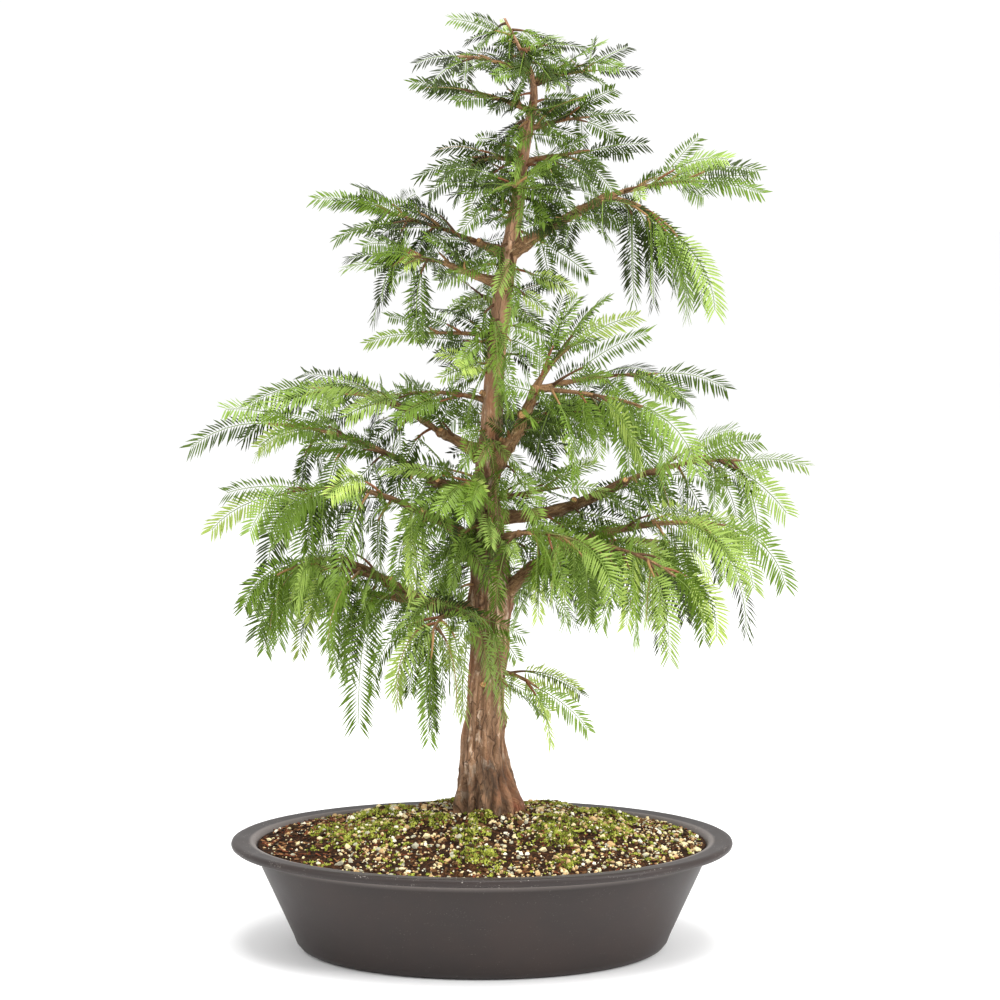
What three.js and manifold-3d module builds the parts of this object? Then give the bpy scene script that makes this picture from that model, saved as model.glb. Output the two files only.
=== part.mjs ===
// A dawn redwood grown as an informal upright bonsai in an oval pot.
// Millimetres, +Z up. The origin is the middle of the pot's flat underside, +X runs along the
// pot's long side and +Y points away from the side that the tree is seen from.

import * as THREE from "three";
import { mergeVertices } from "three/addons/utils/BufferGeometryUtils.js";
import Module from "manifold-3d";

const wasm = await Module();
wasm.setup();

// Pot: an oval with a flat lip, a wall that leans in to a small flat foot, and two drain holes.
const POT_HALF_LENGTH = 200;
const POT_OVAL = 0.775;
const POT_HEIGHT = 88;
const LIP_WIDTH = 19;
const LIP_THICKNESS = 7;
const LIP_OVERHANG = 18;
const WALL_FOOT = 151;
const WALL_FOOT_HEIGHT = 13;
const FOOT_HALF_LENGTH = 137;
const WALL_THICKNESS = 4.5;
const FLOOR_THICKNESS = 8;
const FOOT_ROUND = { out: 9, up: 3.5 };
const FLOOR_ROUND = 10;
const DRAIN_RADIUS = 8;
const DRAIN_SPACING = 180;
const DRAIN_SEGMENTS = 12;
const POT_SEGMENTS = 36;

// Soil: it fills the pot to just under the lip and rises to a level patch under the trunk. The
// slope passes through points at these shares of the way from the middle to the edge.
const SOIL_EDGE_HEIGHT = 85;
const SOIL_TOP_HEIGHT = 104;
const SOIL_PATCH = 36;
const SOIL_SLOPE_SHARES = [0.86, 0.5];
const SOIL_SLOPE_POWER = 1.2;
const SOIL_PULL_BACK = 1.25;

// Parts that meet are this far apart.
const CLEARANCE = 0.3;

// Rows of values as objects whose fields are named in one line.
function table(fields, rows) {
  const names = fields.split(" ");
  return rows.map((row) => Object.fromEntries(row.map((value, k) => [names[k], value])));
}

// Moss cushions: low mounds on the soil, placed by a share of the way from the middle to the edge
// and by the angle round it.
const MOSS_CUSHIONS = table("share angle radius height", [
  [0.6, 208, 34, 5],
  [0.74, 184, 22, 3.5],
  [0.5, 160, 30, 5],
  [0.62, 104, 30, 4.5],
  [0.66, 62, 28, 4.5],
  [0.62, 22, 32, 5],
  [0.58, 340, 28, 5],
  [0.52, 305, 24, 4.5],
  [0.74, 268, 20, 3.5],
  [0.84, 296, 16, 3],
  [0.22, 265, 13, 6],
  [0.34, 222, 20, 4],
  [0.38, 330, 20, 4],
  [0.46, 262, 20, 4],
]);
const CUSHION_SIDES = 6;
const CUSHION_ROOT = 4;
const CUSHION_RIM = 0.5;
const CUSHION_SHOULDER = { out: 0.6, up: 0.64 };

// Trunk: one row for each bend or change of girth, from the ground to the tip.
const TRUNK_SECTIONS = [
  { z: 104.3, x: 5, y: 40, radius: 27 },
  { z: 114, x: 4, y: 40, radius: 23 },
  { z: 135, x: 2, y: 40, radius: 19 },
  { z: 160, x: 1, y: 39, radius: 16.5 },
  { z: 204, x: 3, y: 38, radius: 15 },
  { z: 258, x: 6, y: 36, radius: 15 },
  { z: 307, x: 6, y: 34, radius: 16.5 },
  { z: 356, x: 2, y: 32, radius: 11 },
  { z: 404, x: 7, y: 30, radius: 8.6 },
  { z: 452, x: 10, y: 28, radius: 8.2 },
  { z: 508, x: 14, y: 26, radius: 7.6 },
  { z: 555, x: 22, y: 24, radius: 6.4 },
  { z: 594, x: 29, y: 22, radius: 5.6 },
  { z: 641, x: 34, y: 20, radius: 4.4 },
  { z: 671, x: 41, y: 18, radius: 3.2 },
  { z: 684, x: 43, y: 17, radius: 2.8 },
  { z: 698, x: 38, y: 16, radius: 2.3 },
  { z: 714, x: 29, y: 15, radius: 1.8 },
  { z: 736, x: 18, y: 13, radius: 1 },
];
const TRUNK_SIDES = 14;
const FLARE_LOBES = 5;
const FLARE_DEPTH = 0.2;
const FLARE_HEIGHT = 46;
const FLARE_PHASE = 0.6;

// Boughs: each leaves the trunk at a height, or a bough at a share of its length. Heading 0 is
// +X and 90 is +Y, rise is the slope above level, and both change evenly, by turn and bend.
const BOUGHS = table("name on at heading rise length turn bend radius", [
  ["left_low", "trunk", 268, 187, -9, 88, -6, 48, 6.6],
  ["left_low_front", "left_low", 0.3, 254, 2, 34, 0, -8, 3.4],
  ["left_low_back", "left_low", 0.55, 138, 6, 48, 10, -6, 3.6],
  ["left_mid", "trunk", 304, 214, 54, 74, -18, -36, 5.6],
  ["left_shoulder", "trunk", 360, 180, 8, 44, 0, 14, 6],
  ["left_upper", "trunk", 388, 156, 30, 46, 10, -6, 5.4],
  ["right_low", "trunk", 266, -14, 52, 118, 8, -36, 6.6],
  ["right_low_front", "right_low", 0.72, -48, 8, 44, 12, -10, 3.6],
  ["right_low_back", "right_low", 0.62, 48, 10, 52, -8, -10, 3.6],
  ["right_mid", "trunk", 342, 14, -5, 118, -8, 36, 5.4],
  ["right_stub", "trunk", 376, -38, 44, 84, 14, 26, 6],
  ["right_rear", "right_stub", 0.45, 56, 26, 46, -8, -8, 3.4],
  ["right_front", "trunk", 322, -64, 12, 48, 12, 2, 4],
  ["right_high", "trunk", 552, -18, 33, 90, 12, -6, 4.8],
  ["left_high", "trunk", 550, 166, 24, 34, 5, -2, 3.6],
  ["left_high_front", "trunk", 528, 204, 14, 52, -12, 10, 3.4],
  ["back_low", "trunk", 290, 98, 20, 62, 6, -12, 4.8],
  ["back_mid", "trunk", 396, 80, 22, 54, 6, -10, 4.4],
]);
const BOUGH_TAPER = 0.68;
const BOUGH_SIDES = 6;
const BOUGH_RINGS = 4;

// Habits of growth: the length of a twig, its angle to the stem, how far its rise strays, and the
// length of a spray of needles and how far it hangs. The lower the bough, the longer the sprays
// and the more they hang.
const HABITS = {
  weeping: { twig: 30, fan: 60, stray: 16, spray: 73, hang: 80 },
  drooping: { twig: 31, fan: 56, stray: 18, spray: 70, hang: 62 },
  arching: { twig: 33, fan: 53, stray: 18, spray: 64, hang: 38 },
  level: { twig: 28, fan: 55, stray: 22, spray: 52, hang: 30 },
  crown: { twig: 26, fan: 55, stray: 32, spray: 47, hang: 32 },
  tip: { twig: 22, fan: 50, stray: 28, spray: 38, hang: 24 },
};

// Masses of foliage: each grows round one stem, which goes on from a bough's tip or from the trunk.
const MASSES = table("name on at habit heading rise length bend twigs", [
  ["left_low", "left_low", 1, "weeping", 178, 38, 78, -52, 4],
  ["left_low_spur", "left_low", 1, "weeping", 204, 24, 78, -24, 4],
  ["left_low_front", "left_low_front", 1, "weeping", 258, 4, 46, -30, 4],
  ["left_low_back", "left_low_back", 1, "weeping", 150, 12, 70, -14, 4],
  ["left_mid", "left_mid", 1, "drooping", 190, 33, 120, -50, 6],
  ["left_shoulder", "left_shoulder", 1, "arching", 180, 36, 142, -34, 6],
  ["left_upper", "left_upper", 1, "arching", 169, 36, 114, -36, 6],
  ["left_top", "trunk", 434, "level", 174, 18, 74, -26, 4],
  ["right_low", "right_low", 1, "drooping", -6, 16, 94, -24, 5],
  ["right_low_front", "right_low_front", 1, "weeping", -34, -6, 62, -24, 4],
  ["right_low_back", "right_low_back", 1, "weeping", 36, 4, 72, -16, 4],
  ["right_front", "right_front", 1, "weeping", -40, 8, 54, -18, 4],
  ["right_inner", "trunk", 354, "level", 6, 14, 62, -8, 4],
  ["right_mid", "right_mid", 1, "arching", 4, 24, 98, -28, 5],
  ["right_stub", "right_stub", 1, "level", 14, 66, 54, -40, 4],
  ["right_fan", "right_stub", 1, "arching", 4, 14, 98, -14, 4],
  ["right_fan_low", "right_stub", 1, "drooping", -24, 0, 92, -14, 4],
  ["right_rear", "right_rear", 1, "drooping", 42, 18, 56, -18, 4],
  ["right_high", "right_high", 1, "level", 0, 18, 80, -18, 5],
  ["right_high_low", "right_high", 1, "drooping", -4, -6, 66, -46, 4],
  ["left_high", "left_high", 1, "level", 173, 22, 86, -10, 6],
  ["left_high_front", "left_high_front", 1, "level", 196, 20, 34, -22, 4],
  ["back_low", "back_low", 1, "weeping", 100, 8, 66, -16, 3],
  ["back_mid", "back_mid", 1, "drooping", 86, 12, 58, -14, 3],
  ["back_high", "trunk", 504, "level", 100, 18, 84, -18, 4],
  ["low_right", "trunk", 216, "level", -14, 6, 46, -44, 3],
  ["front_mid", "trunk", 370, "level", -118, 12, 44, -22, 4],
  ["left_slim", "trunk", 486, "tip", 180, 10, 66, -16, 3],
  ["crown_left", "trunk", 626, "crown", 178, 6, 40, -6, 4],
  ["crown_right", "trunk", 624, "crown", -2, 14, 54, -10, 4],
  ["crown_front", "trunk", 602, "crown", -98, 12, 40, -14, 4],
  ["crown_back", "trunk", 608, "crown", 94, 14, 42, -14, 3],
  ["leader_left", "trunk", 664, "tip", 180, 24, 58, -14, 4],
  ["leader_right", "trunk", 650, "tip", 0, 18, 50, -14, 4],
  ["leader_back", "trunk", 650, "tip", 84, 20, 32, -10, 3],
  ["tip_left", "trunk", 692, "tip", 176, 26, 62, -24, 4],
  ["tip_right", "trunk", 688, "tip", 6, 16, 50, -14, 4],
  ["tip", "trunk", 710, "tip", 30, 20, 12, -16, 2],
]);
const STEM_RADIUS_ON_TRUNK = 1.8;
const STEM_TIP_RADIUS = 0.9;
const STEM_SIDES = 4;
const STEM_RINGS = 3;
const LOWEST_LEAF = POT_HEIGHT + 30;

// Chance: each pair is a middle value and how far it strays to either side. Angles are turned out
// from the parent's own, lengths are shares of the habit's, and a twig gets shorter along its stem.
const TWIG = {
  first: 0.12,
  span: 0.8,
  stray: 0.35,
  length: [1.05, 0.12],
  shorten: 0.45,
  turnOut: 9,
  lift: 3,
  turnBack: [18, 8],
  hangShare: 0.3,
  hangStray: 8,
};
const SPRAY = { heading: 12, rise: [4, 12], length: 0.14, hang: 14, roll: 35, turn: 14, facing: 0.7 };
const STEM_SPRAY_ROOT = 0.9;
const SEEDS = { mass: 101, twig: 7, stemSpray: 97 };

// A spray of needles: a slim flat core with a row of broad teeth on each side.
const CORE_HALF_WIDTH = 1.5;
const CORE_HALF_THICKNESS = 0.7;
const CORE_TAPER = 0.4;
const TWIG_RADIUS = 1.1;
const TWIG_CORNERS = [30, 150, 270];
const CORNERS = [[1, 1], [-1, 1], [-1, -1], [1, -1]];
const TOOTH_REACH = 0.19;
const TOOTH_PROFILE = { start: 0.25, span: 0.6 };
const TOOTH_SWEEP = 0.5;
const LAST_TOOTH = 0.93;
const LONG_SPRAY = 78;
const TEETH_LONG = 4;
const TEETH_SHORT = 3;
const SMALLEST_OVERLAP = 0.0001;

// Finishes.
const FINISHES = {
  pot: { color: 0x4f4845, roughness: 0.62, metalness: 0 },
  soil: { color: 0x4a3423, roughness: 1, metalness: 0 },
  bark: { color: 0x80604a, roughness: 0.9, metalness: 0 },
  foliage: { color: 0x5f9a3a, roughness: 0.7, metalness: 0 },
};

// The same seed always gives the same row of numbers.
class Dice {
  constructor(seed) {
    this.state = seed >>> 0;
  }

  // A number from 0 up to 1.
  roll() {
    this.state = (this.state + 0x6d2b79f5) >>> 0;
    let t = Math.imul(this.state ^ (this.state >>> 15), this.state | 1);
    t ^= t + Math.imul(t ^ (t >>> 7), t | 61);
    return ((t ^ (t >>> 14)) >>> 0) / 4294967296;
  }

  // A number within a spread to either side of a value.
  near(value, spread) {
    return value + (2 * this.roll() - 1) * spread;
  }
}

const radians = THREE.MathUtils.degToRad;

// The unit vector at a heading and a rise.
function aim(heading, rise) {
  const level = Math.cos(radians(rise));
  return new THREE.Vector3(
    level * Math.cos(radians(heading)),
    level * Math.sin(radians(heading)),
    Math.sin(radians(rise)),
  );
}

// The path of a limb, twig or spray: an arc along which the heading and the rise change evenly.
class Arc {
  constructor(start, { heading, rise, length, turn = 0, bend = 0 }) {
    Object.assign(this, { heading, rise, length, turn, bend });
    this.points = [start.clone()];
    for (let i = 0; i < Arc.STEPS; i++) {
      const t = (i + 0.5) / Arc.STEPS;
      const step = aim(this.headingAt(t), this.riseAt(t)).multiplyScalar(length / Arc.STEPS);
      this.points.push(this.points[i].clone().add(step));
    }
  }

  headingAt(t) {
    return this.heading + this.turn * t;
  }

  // Nothing hangs further than straight down.
  riseAt(t) {
    return Math.max(Arc.LOWEST_RISE, this.rise + this.bend * t);
  }

  at(t) {
    const place = t * Arc.STEPS;
    const i = Math.min(Math.floor(place), Arc.STEPS - 1);
    return this.points[i].clone().lerp(this.points[i + 1], place - i);
  }

  // The directions along, across and over the arc at a share of its length.
  frameAt(t, roll = 0) {
    const along = aim(this.headingAt(t), this.riseAt(t));
    const across = aim(this.headingAt(t) + 90, 0);
    across.applyAxisAngle(along, radians(roll));
    return { along, across, over: new THREE.Vector3().crossVectors(along, across) };
  }
}
Arc.STEPS = 8;
Arc.LOWEST_RISE = -88;

// A closed geometry as a solid, with the vertices that its faces share merged.
function solidOf(geometry) {
  geometry.deleteAttribute("normal");
  geometry.deleteAttribute("uv");
  const merged = mergeVertices(geometry, 1e-4);
  return new wasm.Manifold(
    new wasm.Mesh({
      numProp: 3,
      vertProperties: merged.attributes.position.array,
      triVerts: new Uint32Array(merged.index.array),
    }),
  );
}

// A solid's largest body as a named mesh: loose scraps and sealed hollows are dropped.
function meshOf(name, solid, finish) {
  const body = largest(solid);
  const { numProp, numVert, vertProperties, triVerts } = body.getMesh();
  const positions = new Float32Array(numVert * 3);
  for (let i = 0; i < numVert; i++) {
    positions.set(vertProperties.subarray(i * numProp, i * numProp + 3), i * 3);
  }
  const geometry = new THREE.BufferGeometry();
  geometry.setAttribute("position", new THREE.BufferAttribute(positions, 3));
  geometry.setIndex(new THREE.BufferAttribute(triVerts, 1));
  geometry.computeVertexNormals();
  const mesh = new THREE.Mesh(geometry, new THREE.MeshStandardMaterial(FINISHES[finish]));
  mesh.name = name;
  return mesh;
}

function largest(solid) {
  const bodies = solid.decompose();
  return bodies.reduce((best, body) => (body.volume() > best.volume() ? body : best));
}

// Moves each vertex of a geometry to place(x, y, z).
function reshape(geometry, place) {
  const position = geometry.attributes.position;
  const v = new THREE.Vector3();
  for (let i = 0; i < position.count; i++) {
    v.fromBufferAttribute(position, i);
    const moved = place(v);
    position.setXYZ(i, moved.x, moved.y, moved.z);
  }
  return geometry;
}

// A turned profile of [radius, height] points with its axis upright.
function lathe(profile, segments) {
  const points = profile.map(([radius, height]) => new THREE.Vector2(radius, height));
  const geometry = new THREE.LatheGeometry(points, segments);
  geometry.rotateX(Math.PI / 2);
  return geometry;
}

// The same, squashed to the pot's oval.
function ovalLathe(profile) {
  const geometry = lathe(profile, POT_SEGMENTS);
  geometry.scale(1, POT_OVAL, 1);
  return geometry;
}

// The inner wall's half length at a height.
function innerWall(height) {
  const bottom = WALL_FOOT - WALL_THICKNESS;
  const top = POT_HALF_LENGTH - LIP_WIDTH;
  const share = (height - WALL_FOOT_HEIGHT) / (POT_HEIGHT - WALL_FOOT_HEIGHT);
  return bottom + (top - bottom) * share;
}

function pot() {
  const underLip = POT_HEIGHT - LIP_THICKNESS;
  const profile = [
    [0, 0],
    [FOOT_HALF_LENGTH, 0],
    [FOOT_HALF_LENGTH + FOOT_ROUND.out, FOOT_ROUND.up],
    [WALL_FOOT, WALL_FOOT_HEIGHT],
    [POT_HALF_LENGTH - LIP_OVERHANG, underLip],
    [POT_HALF_LENGTH, underLip],
    [POT_HALF_LENGTH, POT_HEIGHT],
    [POT_HALF_LENGTH - LIP_WIDTH, POT_HEIGHT],
    [innerWall(WALL_FOOT_HEIGHT), WALL_FOOT_HEIGHT],
    [innerWall(WALL_FOOT_HEIGHT) - FLOOR_ROUND, FLOOR_THICKNESS],
    [0, FLOOR_THICKNESS],
  ];
  let solid = solidOf(ovalLathe(profile));
  for (const side of [-1, 1]) {
    const height = 4 * FLOOR_THICKNESS;
    const drain = new THREE.CylinderGeometry(DRAIN_RADIUS, DRAIN_RADIUS, height, DRAIN_SEGMENTS);
    drain.rotateX(Math.PI / 2);
    drain.translate((side * DRAIN_SPACING) / 2, 0, 0);
    solid = solid.subtract(solidOf(drain));
  }
  return meshOf("pot", solid, "pot");
}

// The share of the way from the soil's middle to its edge.
function groundShare({ x, y }) {
  return Math.hypot(x, y / POT_OVAL) / (innerWall(SOIL_EDGE_HEIGHT) - 2 * CLEARANCE);
}

function groundHeight(share) {
  const rise = Math.max(0, Math.cos((share * Math.PI) / 2)) ** SOIL_SLOPE_POWER;
  return SOIL_EDGE_HEIGHT + (SOIL_TOP_HEIGHT - SOIL_EDGE_HEIGHT) * rise;
}

// Draws a point of the ground in from the pot's oval towards the trunk's foot.
function drawIn(v) {
  const foot = TRUNK_SECTIONS[0];
  const pull = 1 - groundShare(v);
  v.x += foot.x * pull;
  v.y += foot.y * Math.min(1, SOIL_PULL_BACK * pull);
  return v;
}

// A moss cushion follows the ground and stands a little up from it.
function cushion({ share, angle, radius, height }) {
  const edge = innerWall(SOIL_EDGE_HEIGHT) - 2 * CLEARANCE;
  const profile = [
    [0, -CUSHION_ROOT],
    [radius, -CUSHION_ROOT],
    [radius, -CUSHION_RIM],
    [CUSHION_SHOULDER.out * radius, CUSHION_SHOULDER.up * height],
    [0, height],
  ];
  const geometry = reshape(lathe(profile, CUSHION_SIDES), (v) => {
    v.x += share * edge * Math.cos(radians(angle));
    v.y += share * edge * POT_OVAL * Math.sin(radians(angle));
    v.z += groundHeight(groundShare(v));
    return drawIn(v);
  });
  return solidOf(geometry);
}

function soil() {
  const edge = innerWall(SOIL_EDGE_HEIGHT) - 2 * CLEARANCE;
  const inner = innerWall(WALL_FOOT_HEIGHT) - 2 * CLEARANCE;
  const profile = [
    [0, FLOOR_THICKNESS + CLEARANCE],
    [inner - FLOOR_ROUND, FLOOR_THICKNESS + CLEARANCE],
    [inner, WALL_FOOT_HEIGHT],
    [edge, SOIL_EDGE_HEIGHT],
    ...SOIL_SLOPE_SHARES.map((share) => [share * edge, groundHeight(share)]),
    [SOIL_PATCH, SOIL_TOP_HEIGHT],
    [0, SOIL_TOP_HEIGHT],
  ];
  const geometry = reshape(ovalLathe(profile), (v) => (v.z > SOIL_EDGE_HEIGHT + 0.1 ? drawIn(v) : v));
  const bed = wasm.Manifold.union([solidOf(geometry), ...MOSS_CUSHIONS.map(cushion)]);
  return meshOf("soil", cutClear(bed, [{ allowance: trunk(CLEARANCE) }]), "soil");
}

// A closed round bar of even length parts, laid along a path of t from 0 to 1. place gives the
// centre and the directions across and over the path, and girth the radius at t and at an angle.
function bar(sides, rings, place, girth) {
  const geometry = new THREE.CylinderGeometry(1, 1, 1, sides, rings);
  return solidOf(
    reshape(geometry, (v) => {
      const t = v.y + 0.5;
      const { centre, across, over } = place(t);
      const radius = girth(t, Math.atan2(-v.z, v.x));
      return centre.addScaledVector(across, v.x * radius).addScaledVector(over, -v.z * radius);
    }),
  );
}

function trunkRow(height) {
  const last = TRUNK_SECTIONS.length - 2;
  const found = TRUNK_SECTIONS.findIndex((row, i) => i > 0 && height <= row.z) - 1;
  const i = found < 0 ? last : found;
  const [low, high] = [TRUNK_SECTIONS[i], TRUNK_SECTIONS[i + 1]];
  const t = THREE.MathUtils.clamp((height - low.z) / (high.z - low.z), 0, 1);
  const mix = THREE.MathUtils.lerp;
  return { x: mix(low.x, high.x, t), y: mix(low.y, high.y, t), radius: mix(low.radius, high.radius, t) };
}

function trunkAt(height) {
  const { x, y } = trunkRow(height);
  return new THREE.Vector3(x, y, height);
}

// The trunk has a level ring at each of its sections and lobes of root flare round its foot.
function trunk(extra = 0) {
  const rings = TRUNK_SECTIONS.length - 1;
  const across = new THREE.Vector3(1, 0, 0);
  const over = new THREE.Vector3(0, 1, 0);
  const place = (t) => {
    const row = TRUNK_SECTIONS[Math.round(t * rings)];
    return { centre: new THREE.Vector3(row.x, row.y, row.z), across, over };
  };
  const girth = (t, angle) => {
    const row = TRUNK_SECTIONS[Math.round(t * rings)];
    const flare = Math.max(0, 1 - (row.z - TRUNK_SECTIONS[0].z) / FLARE_HEIGHT);
    const lobe = Math.cos(FLARE_LOBES * angle + FLARE_PHASE);
    return row.radius * (1 + FLARE_DEPTH * flare * lobe) + extra;
  };
  return bar(TRUNK_SIDES, rings, place, girth);
}

// A limb along an arc from one radius to another. An allowance makes it thicker and longer.
function limb(arc, from, to, sides, rings, extra = 0) {
  const place = (t) => {
    const { along, across, over } = arc.frameAt(t);
    const centre = arc.at(t);
    if (t > 1 - 1e-6) {
      centre.addScaledVector(along, extra);
    }
    return { centre, across, over };
  };
  return bar(sides, rings, place, (t) => THREE.MathUtils.lerp(from, to, t) + extra);
}

// A three-sided twig that ends in a spray: a flat core that tapers to a pointed tip, with a tooth
// on each side of each part of the spray.
function twigWithSpray(root, spray, roll) {
  const teeth = spray.length > LONG_SPRAY ? TEETH_LONG : TEETH_SHORT;
  const positions = [];
  const faces = [];
  const quad = (a, b, c, d) => faces.push(a, b, c, a, c, d);
  const ring = (centre, { across, over }, width) => {
    for (const [side, up] of CORNERS) {
      const corner = centre.clone().addScaledVector(across, side * width);
      positions.push(corner.addScaledVector(over, up * CORE_HALF_THICKNESS));
    }
    return [1, 2, 3, 4].map((k) => positions.length + k - 5);
  };
  const toothTip = (t, side) => {
    const { along, across } = spray.frameAt(t, roll);
    const fullness = Math.sin(Math.PI * (TOOTH_PROFILE.start + TOOTH_PROFILE.span * t));
    const reach = CORE_HALF_WIDTH + TOOTH_REACH * spray.length * fullness;
    const sweep = TOOTH_SWEEP * (spray.length / teeth) * (1 - t);
    positions.push(spray.at(t).addScaledVector(across, side * reach).addScaledVector(along, sweep));
    return positions.length - 1;
  };

  const { across, over } = spray.frameAt(0, roll);
  for (const angle of TWIG_CORNERS) {
    const corner = root.clone().addScaledVector(across, TWIG_RADIUS * Math.cos(radians(angle)));
    positions.push(corner.addScaledVector(over, TWIG_RADIUS * Math.sin(radians(angle))));
  }
  faces.push(0, 2, 1);
  let low = ring(spray.at(0), spray.frameAt(0, roll), CORE_HALF_WIDTH);
  quad(0, 1, low[1], low[0]);
  quad(1, 2, low[2], low[1]);
  quad(2, 0, low[0], low[3]);
  faces.push(2, low[3], low[2]);
  for (let i = 1; i < teeth; i++) {
    const t = i / teeth;
    const width = CORE_HALF_WIDTH * (1 - CORE_TAPER * t);
    const high = ring(spray.at(t), spray.frameAt(t, roll), width);
    quad(low[0], low[1], high[1], high[0]);
    quad(low[2], low[3], high[3], high[2]);
    for (const [side, p, q] of [[1, 3, 0], [-1, 1, 2]]) {
      const apex = toothTip(t, side);
      faces.push(low[p], low[q], apex, low[q], high[q], apex);
      faces.push(high[q], high[p], apex, high[p], low[p], apex);
    }
    low = high;
  }
  positions.push(spray.at(1));
  const end = positions.length - 1;
  faces.push(low[0], low[1], end, low[2], low[3], end);
  for (const [side, p, q] of [[1, 3, 0], [-1, 1, 2]]) {
    const apex = toothTip(LAST_TOOTH, side);
    faces.push(low[p], low[q], apex, low[q], end, apex, end, low[p], apex);
  }
  const geometry = new THREE.BufferGeometry().setFromPoints(positions);
  geometry.setIndex(faces);
  return solidOf(geometry);
}

// The arc of the spray that goes on from a twig or a stem at a share of its length.
function sprayOn(parent, share, habit, dice) {
  const heading = dice.near(parent.headingAt(share), SPRAY.heading);
  const rise = parent.riseAt(share) + dice.near(...SPRAY.rise);
  const length = habit.spray * dice.near(1, SPRAY.length);
  const bend = -dice.near(habit.hang, SPRAY.hang);
  const lean = dice.near(0, SPRAY.roll);
  const roll = lean + Math.sign(lean) * SPRAY.facing * habit.hang;
  const turn = dice.near(0, SPRAY.turn);
  return { arc: new Arc(parent.at(share), { heading, rise, length, turn, bend }), roll };
}

// The twigs of a stem, set by turns to its two sides, each ending in a spray, and the stem's own.
function spraysOf(stem, habit, twigs, seed) {
  const pieces = [];
  for (let i = 0; i < twigs; i++) {
    const dice = new Dice(seed * SEEDS.mass + i * SEEDS.twig);
    const t = TWIG.first + (TWIG.span * (i + TWIG.stray * dice.roll())) / twigs;
    const side = i % 2 ? 1 : -1;
    const length = habit.twig * (dice.near(...TWIG.length) - TWIG.shorten * t);
    const heading = dice.near(stem.headingAt(t) + side * habit.fan, TWIG.turnOut);
    const rise = stem.riseAt(t) + dice.near(TWIG.lift, habit.stray);
    const turn = -side * dice.near(...TWIG.turnBack);
    const bend = -dice.near(TWIG.hangShare * habit.hang, TWIG.hangStray);
    const twig = new Arc(stem.at(t), { heading, rise, length, turn, bend });
    pieces.push({ root: stem.at(t), ...sprayOn(twig, 1, habit, dice) });
  }
  const dice = new Dice(seed * SEEDS.mass + SEEDS.stemSpray);
  pieces.push({ root: stem.at(STEM_SPRAY_ROOT), ...sprayOn(stem, 1, habit, dice) });
  return pieces;
}

// Whether two solids share any space.
function touches(a, b) {
  const [p, q] = [a.boundingBox(), b.boundingBox()];
  const apart = [0, 1, 2].some((k) => p.min[k] > q.max[k] || q.min[k] > p.max[k]);
  return !apart && a.intersect(b).volume() > SMALLEST_OVERLAP;
}

const tree = new THREE.Group();
tree.add(pot(), soil());

// Every limb is kept as it is and with an allowance, which cuts what grows out of it clear of it.
const arcs = {};
const grown = [{ name: "trunk", solid: trunk(), allowance: trunk(CLEARANCE) }];
tree.add(meshOf("trunk", grown[0].solid, "bark"));

function cutClear(solid, others) {
  const near = others.filter(({ allowance }) => touches(solid, allowance));
  return near.reduce((left, { allowance }) => left.subtract(allowance), solid);
}

for (const row of BOUGHS) {
  const start = row.on === "trunk" ? trunkAt(row.at) : arcs[row.on].at(row.at);
  const arc = new Arc(start, row);
  const [from, to] = [row.radius, row.radius * BOUGH_TAPER];
  const solid = largest(cutClear(limb(arc, from, to, BOUGH_SIDES, BOUGH_RINGS), grown));
  const allowance = limb(arc, from, to, BOUGH_SIDES, BOUGH_RINGS, CLEARANCE);
  arcs[row.name] = Object.assign(arc, { tipRadius: to });
  grown.push({ name: `bough_${row.name}`, solid, allowance });
  tree.add(meshOf(`bough_${row.name}`, solid, "bark"));
}

// All stems stand before the first spray grows, so that no spray takes a stem's place.
const stems = MASSES.map((row) => {
  const start = row.on === "trunk" ? trunkAt(row.at) : arcs[row.on].at(1);
  const arc = new Arc(start, row);
  const from = row.on === "trunk" ? STEM_RADIUS_ON_TRUNK : arcs[row.on].tipRadius;
  const solid = largest(cutClear(limb(arc, from, STEM_TIP_RADIUS, STEM_SIDES, STEM_RINGS), grown));
  const allowance = limb(arc, from, STEM_TIP_RADIUS, STEM_SIDES, STEM_RINGS, CLEARANCE);
  const stem = { name: `foliage_${row.name}`, row, arc, solid, allowance };
  grown.push(stem);
  return stem;
});

const masses = [];
stems.forEach((stem, i) => {
  const others = grown.filter((other) => other !== stem).map((other) => other.allowance);
  const kept = [stem.solid];
  const { habit, twigs } = stem.row;
  for (const { root, arc, roll } of spraysOf(stem.arc, HABITS[habit], twigs, i + 1)) {
    const piece = twigWithSpray(root, arc, roll);
    const blocked = [...others, ...masses, ...kept.slice(1)].some((other) => touches(piece, other));
    if (!blocked && piece.boundingBox().min[2] > LOWEST_LEAF) {
      kept.push(piece);
    }
  }
  const mass = largest(wasm.Manifold.union(kept));
  masses.push(mass);
  tree.add(meshOf(stem.name, mass, "foliage"));
});

export default tree;
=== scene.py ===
"""Looks of a dawn redwood grown as a bonsai in an oval pot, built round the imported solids."""

import logging
import math
from dataclasses import dataclass, field
from enum import Enum
from typing import Any, Callable, Iterator, NamedTuple, Sequence

import bmesh
import bpy
import numpy as np
from mathutils import Matrix, Vector, noise


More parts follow.
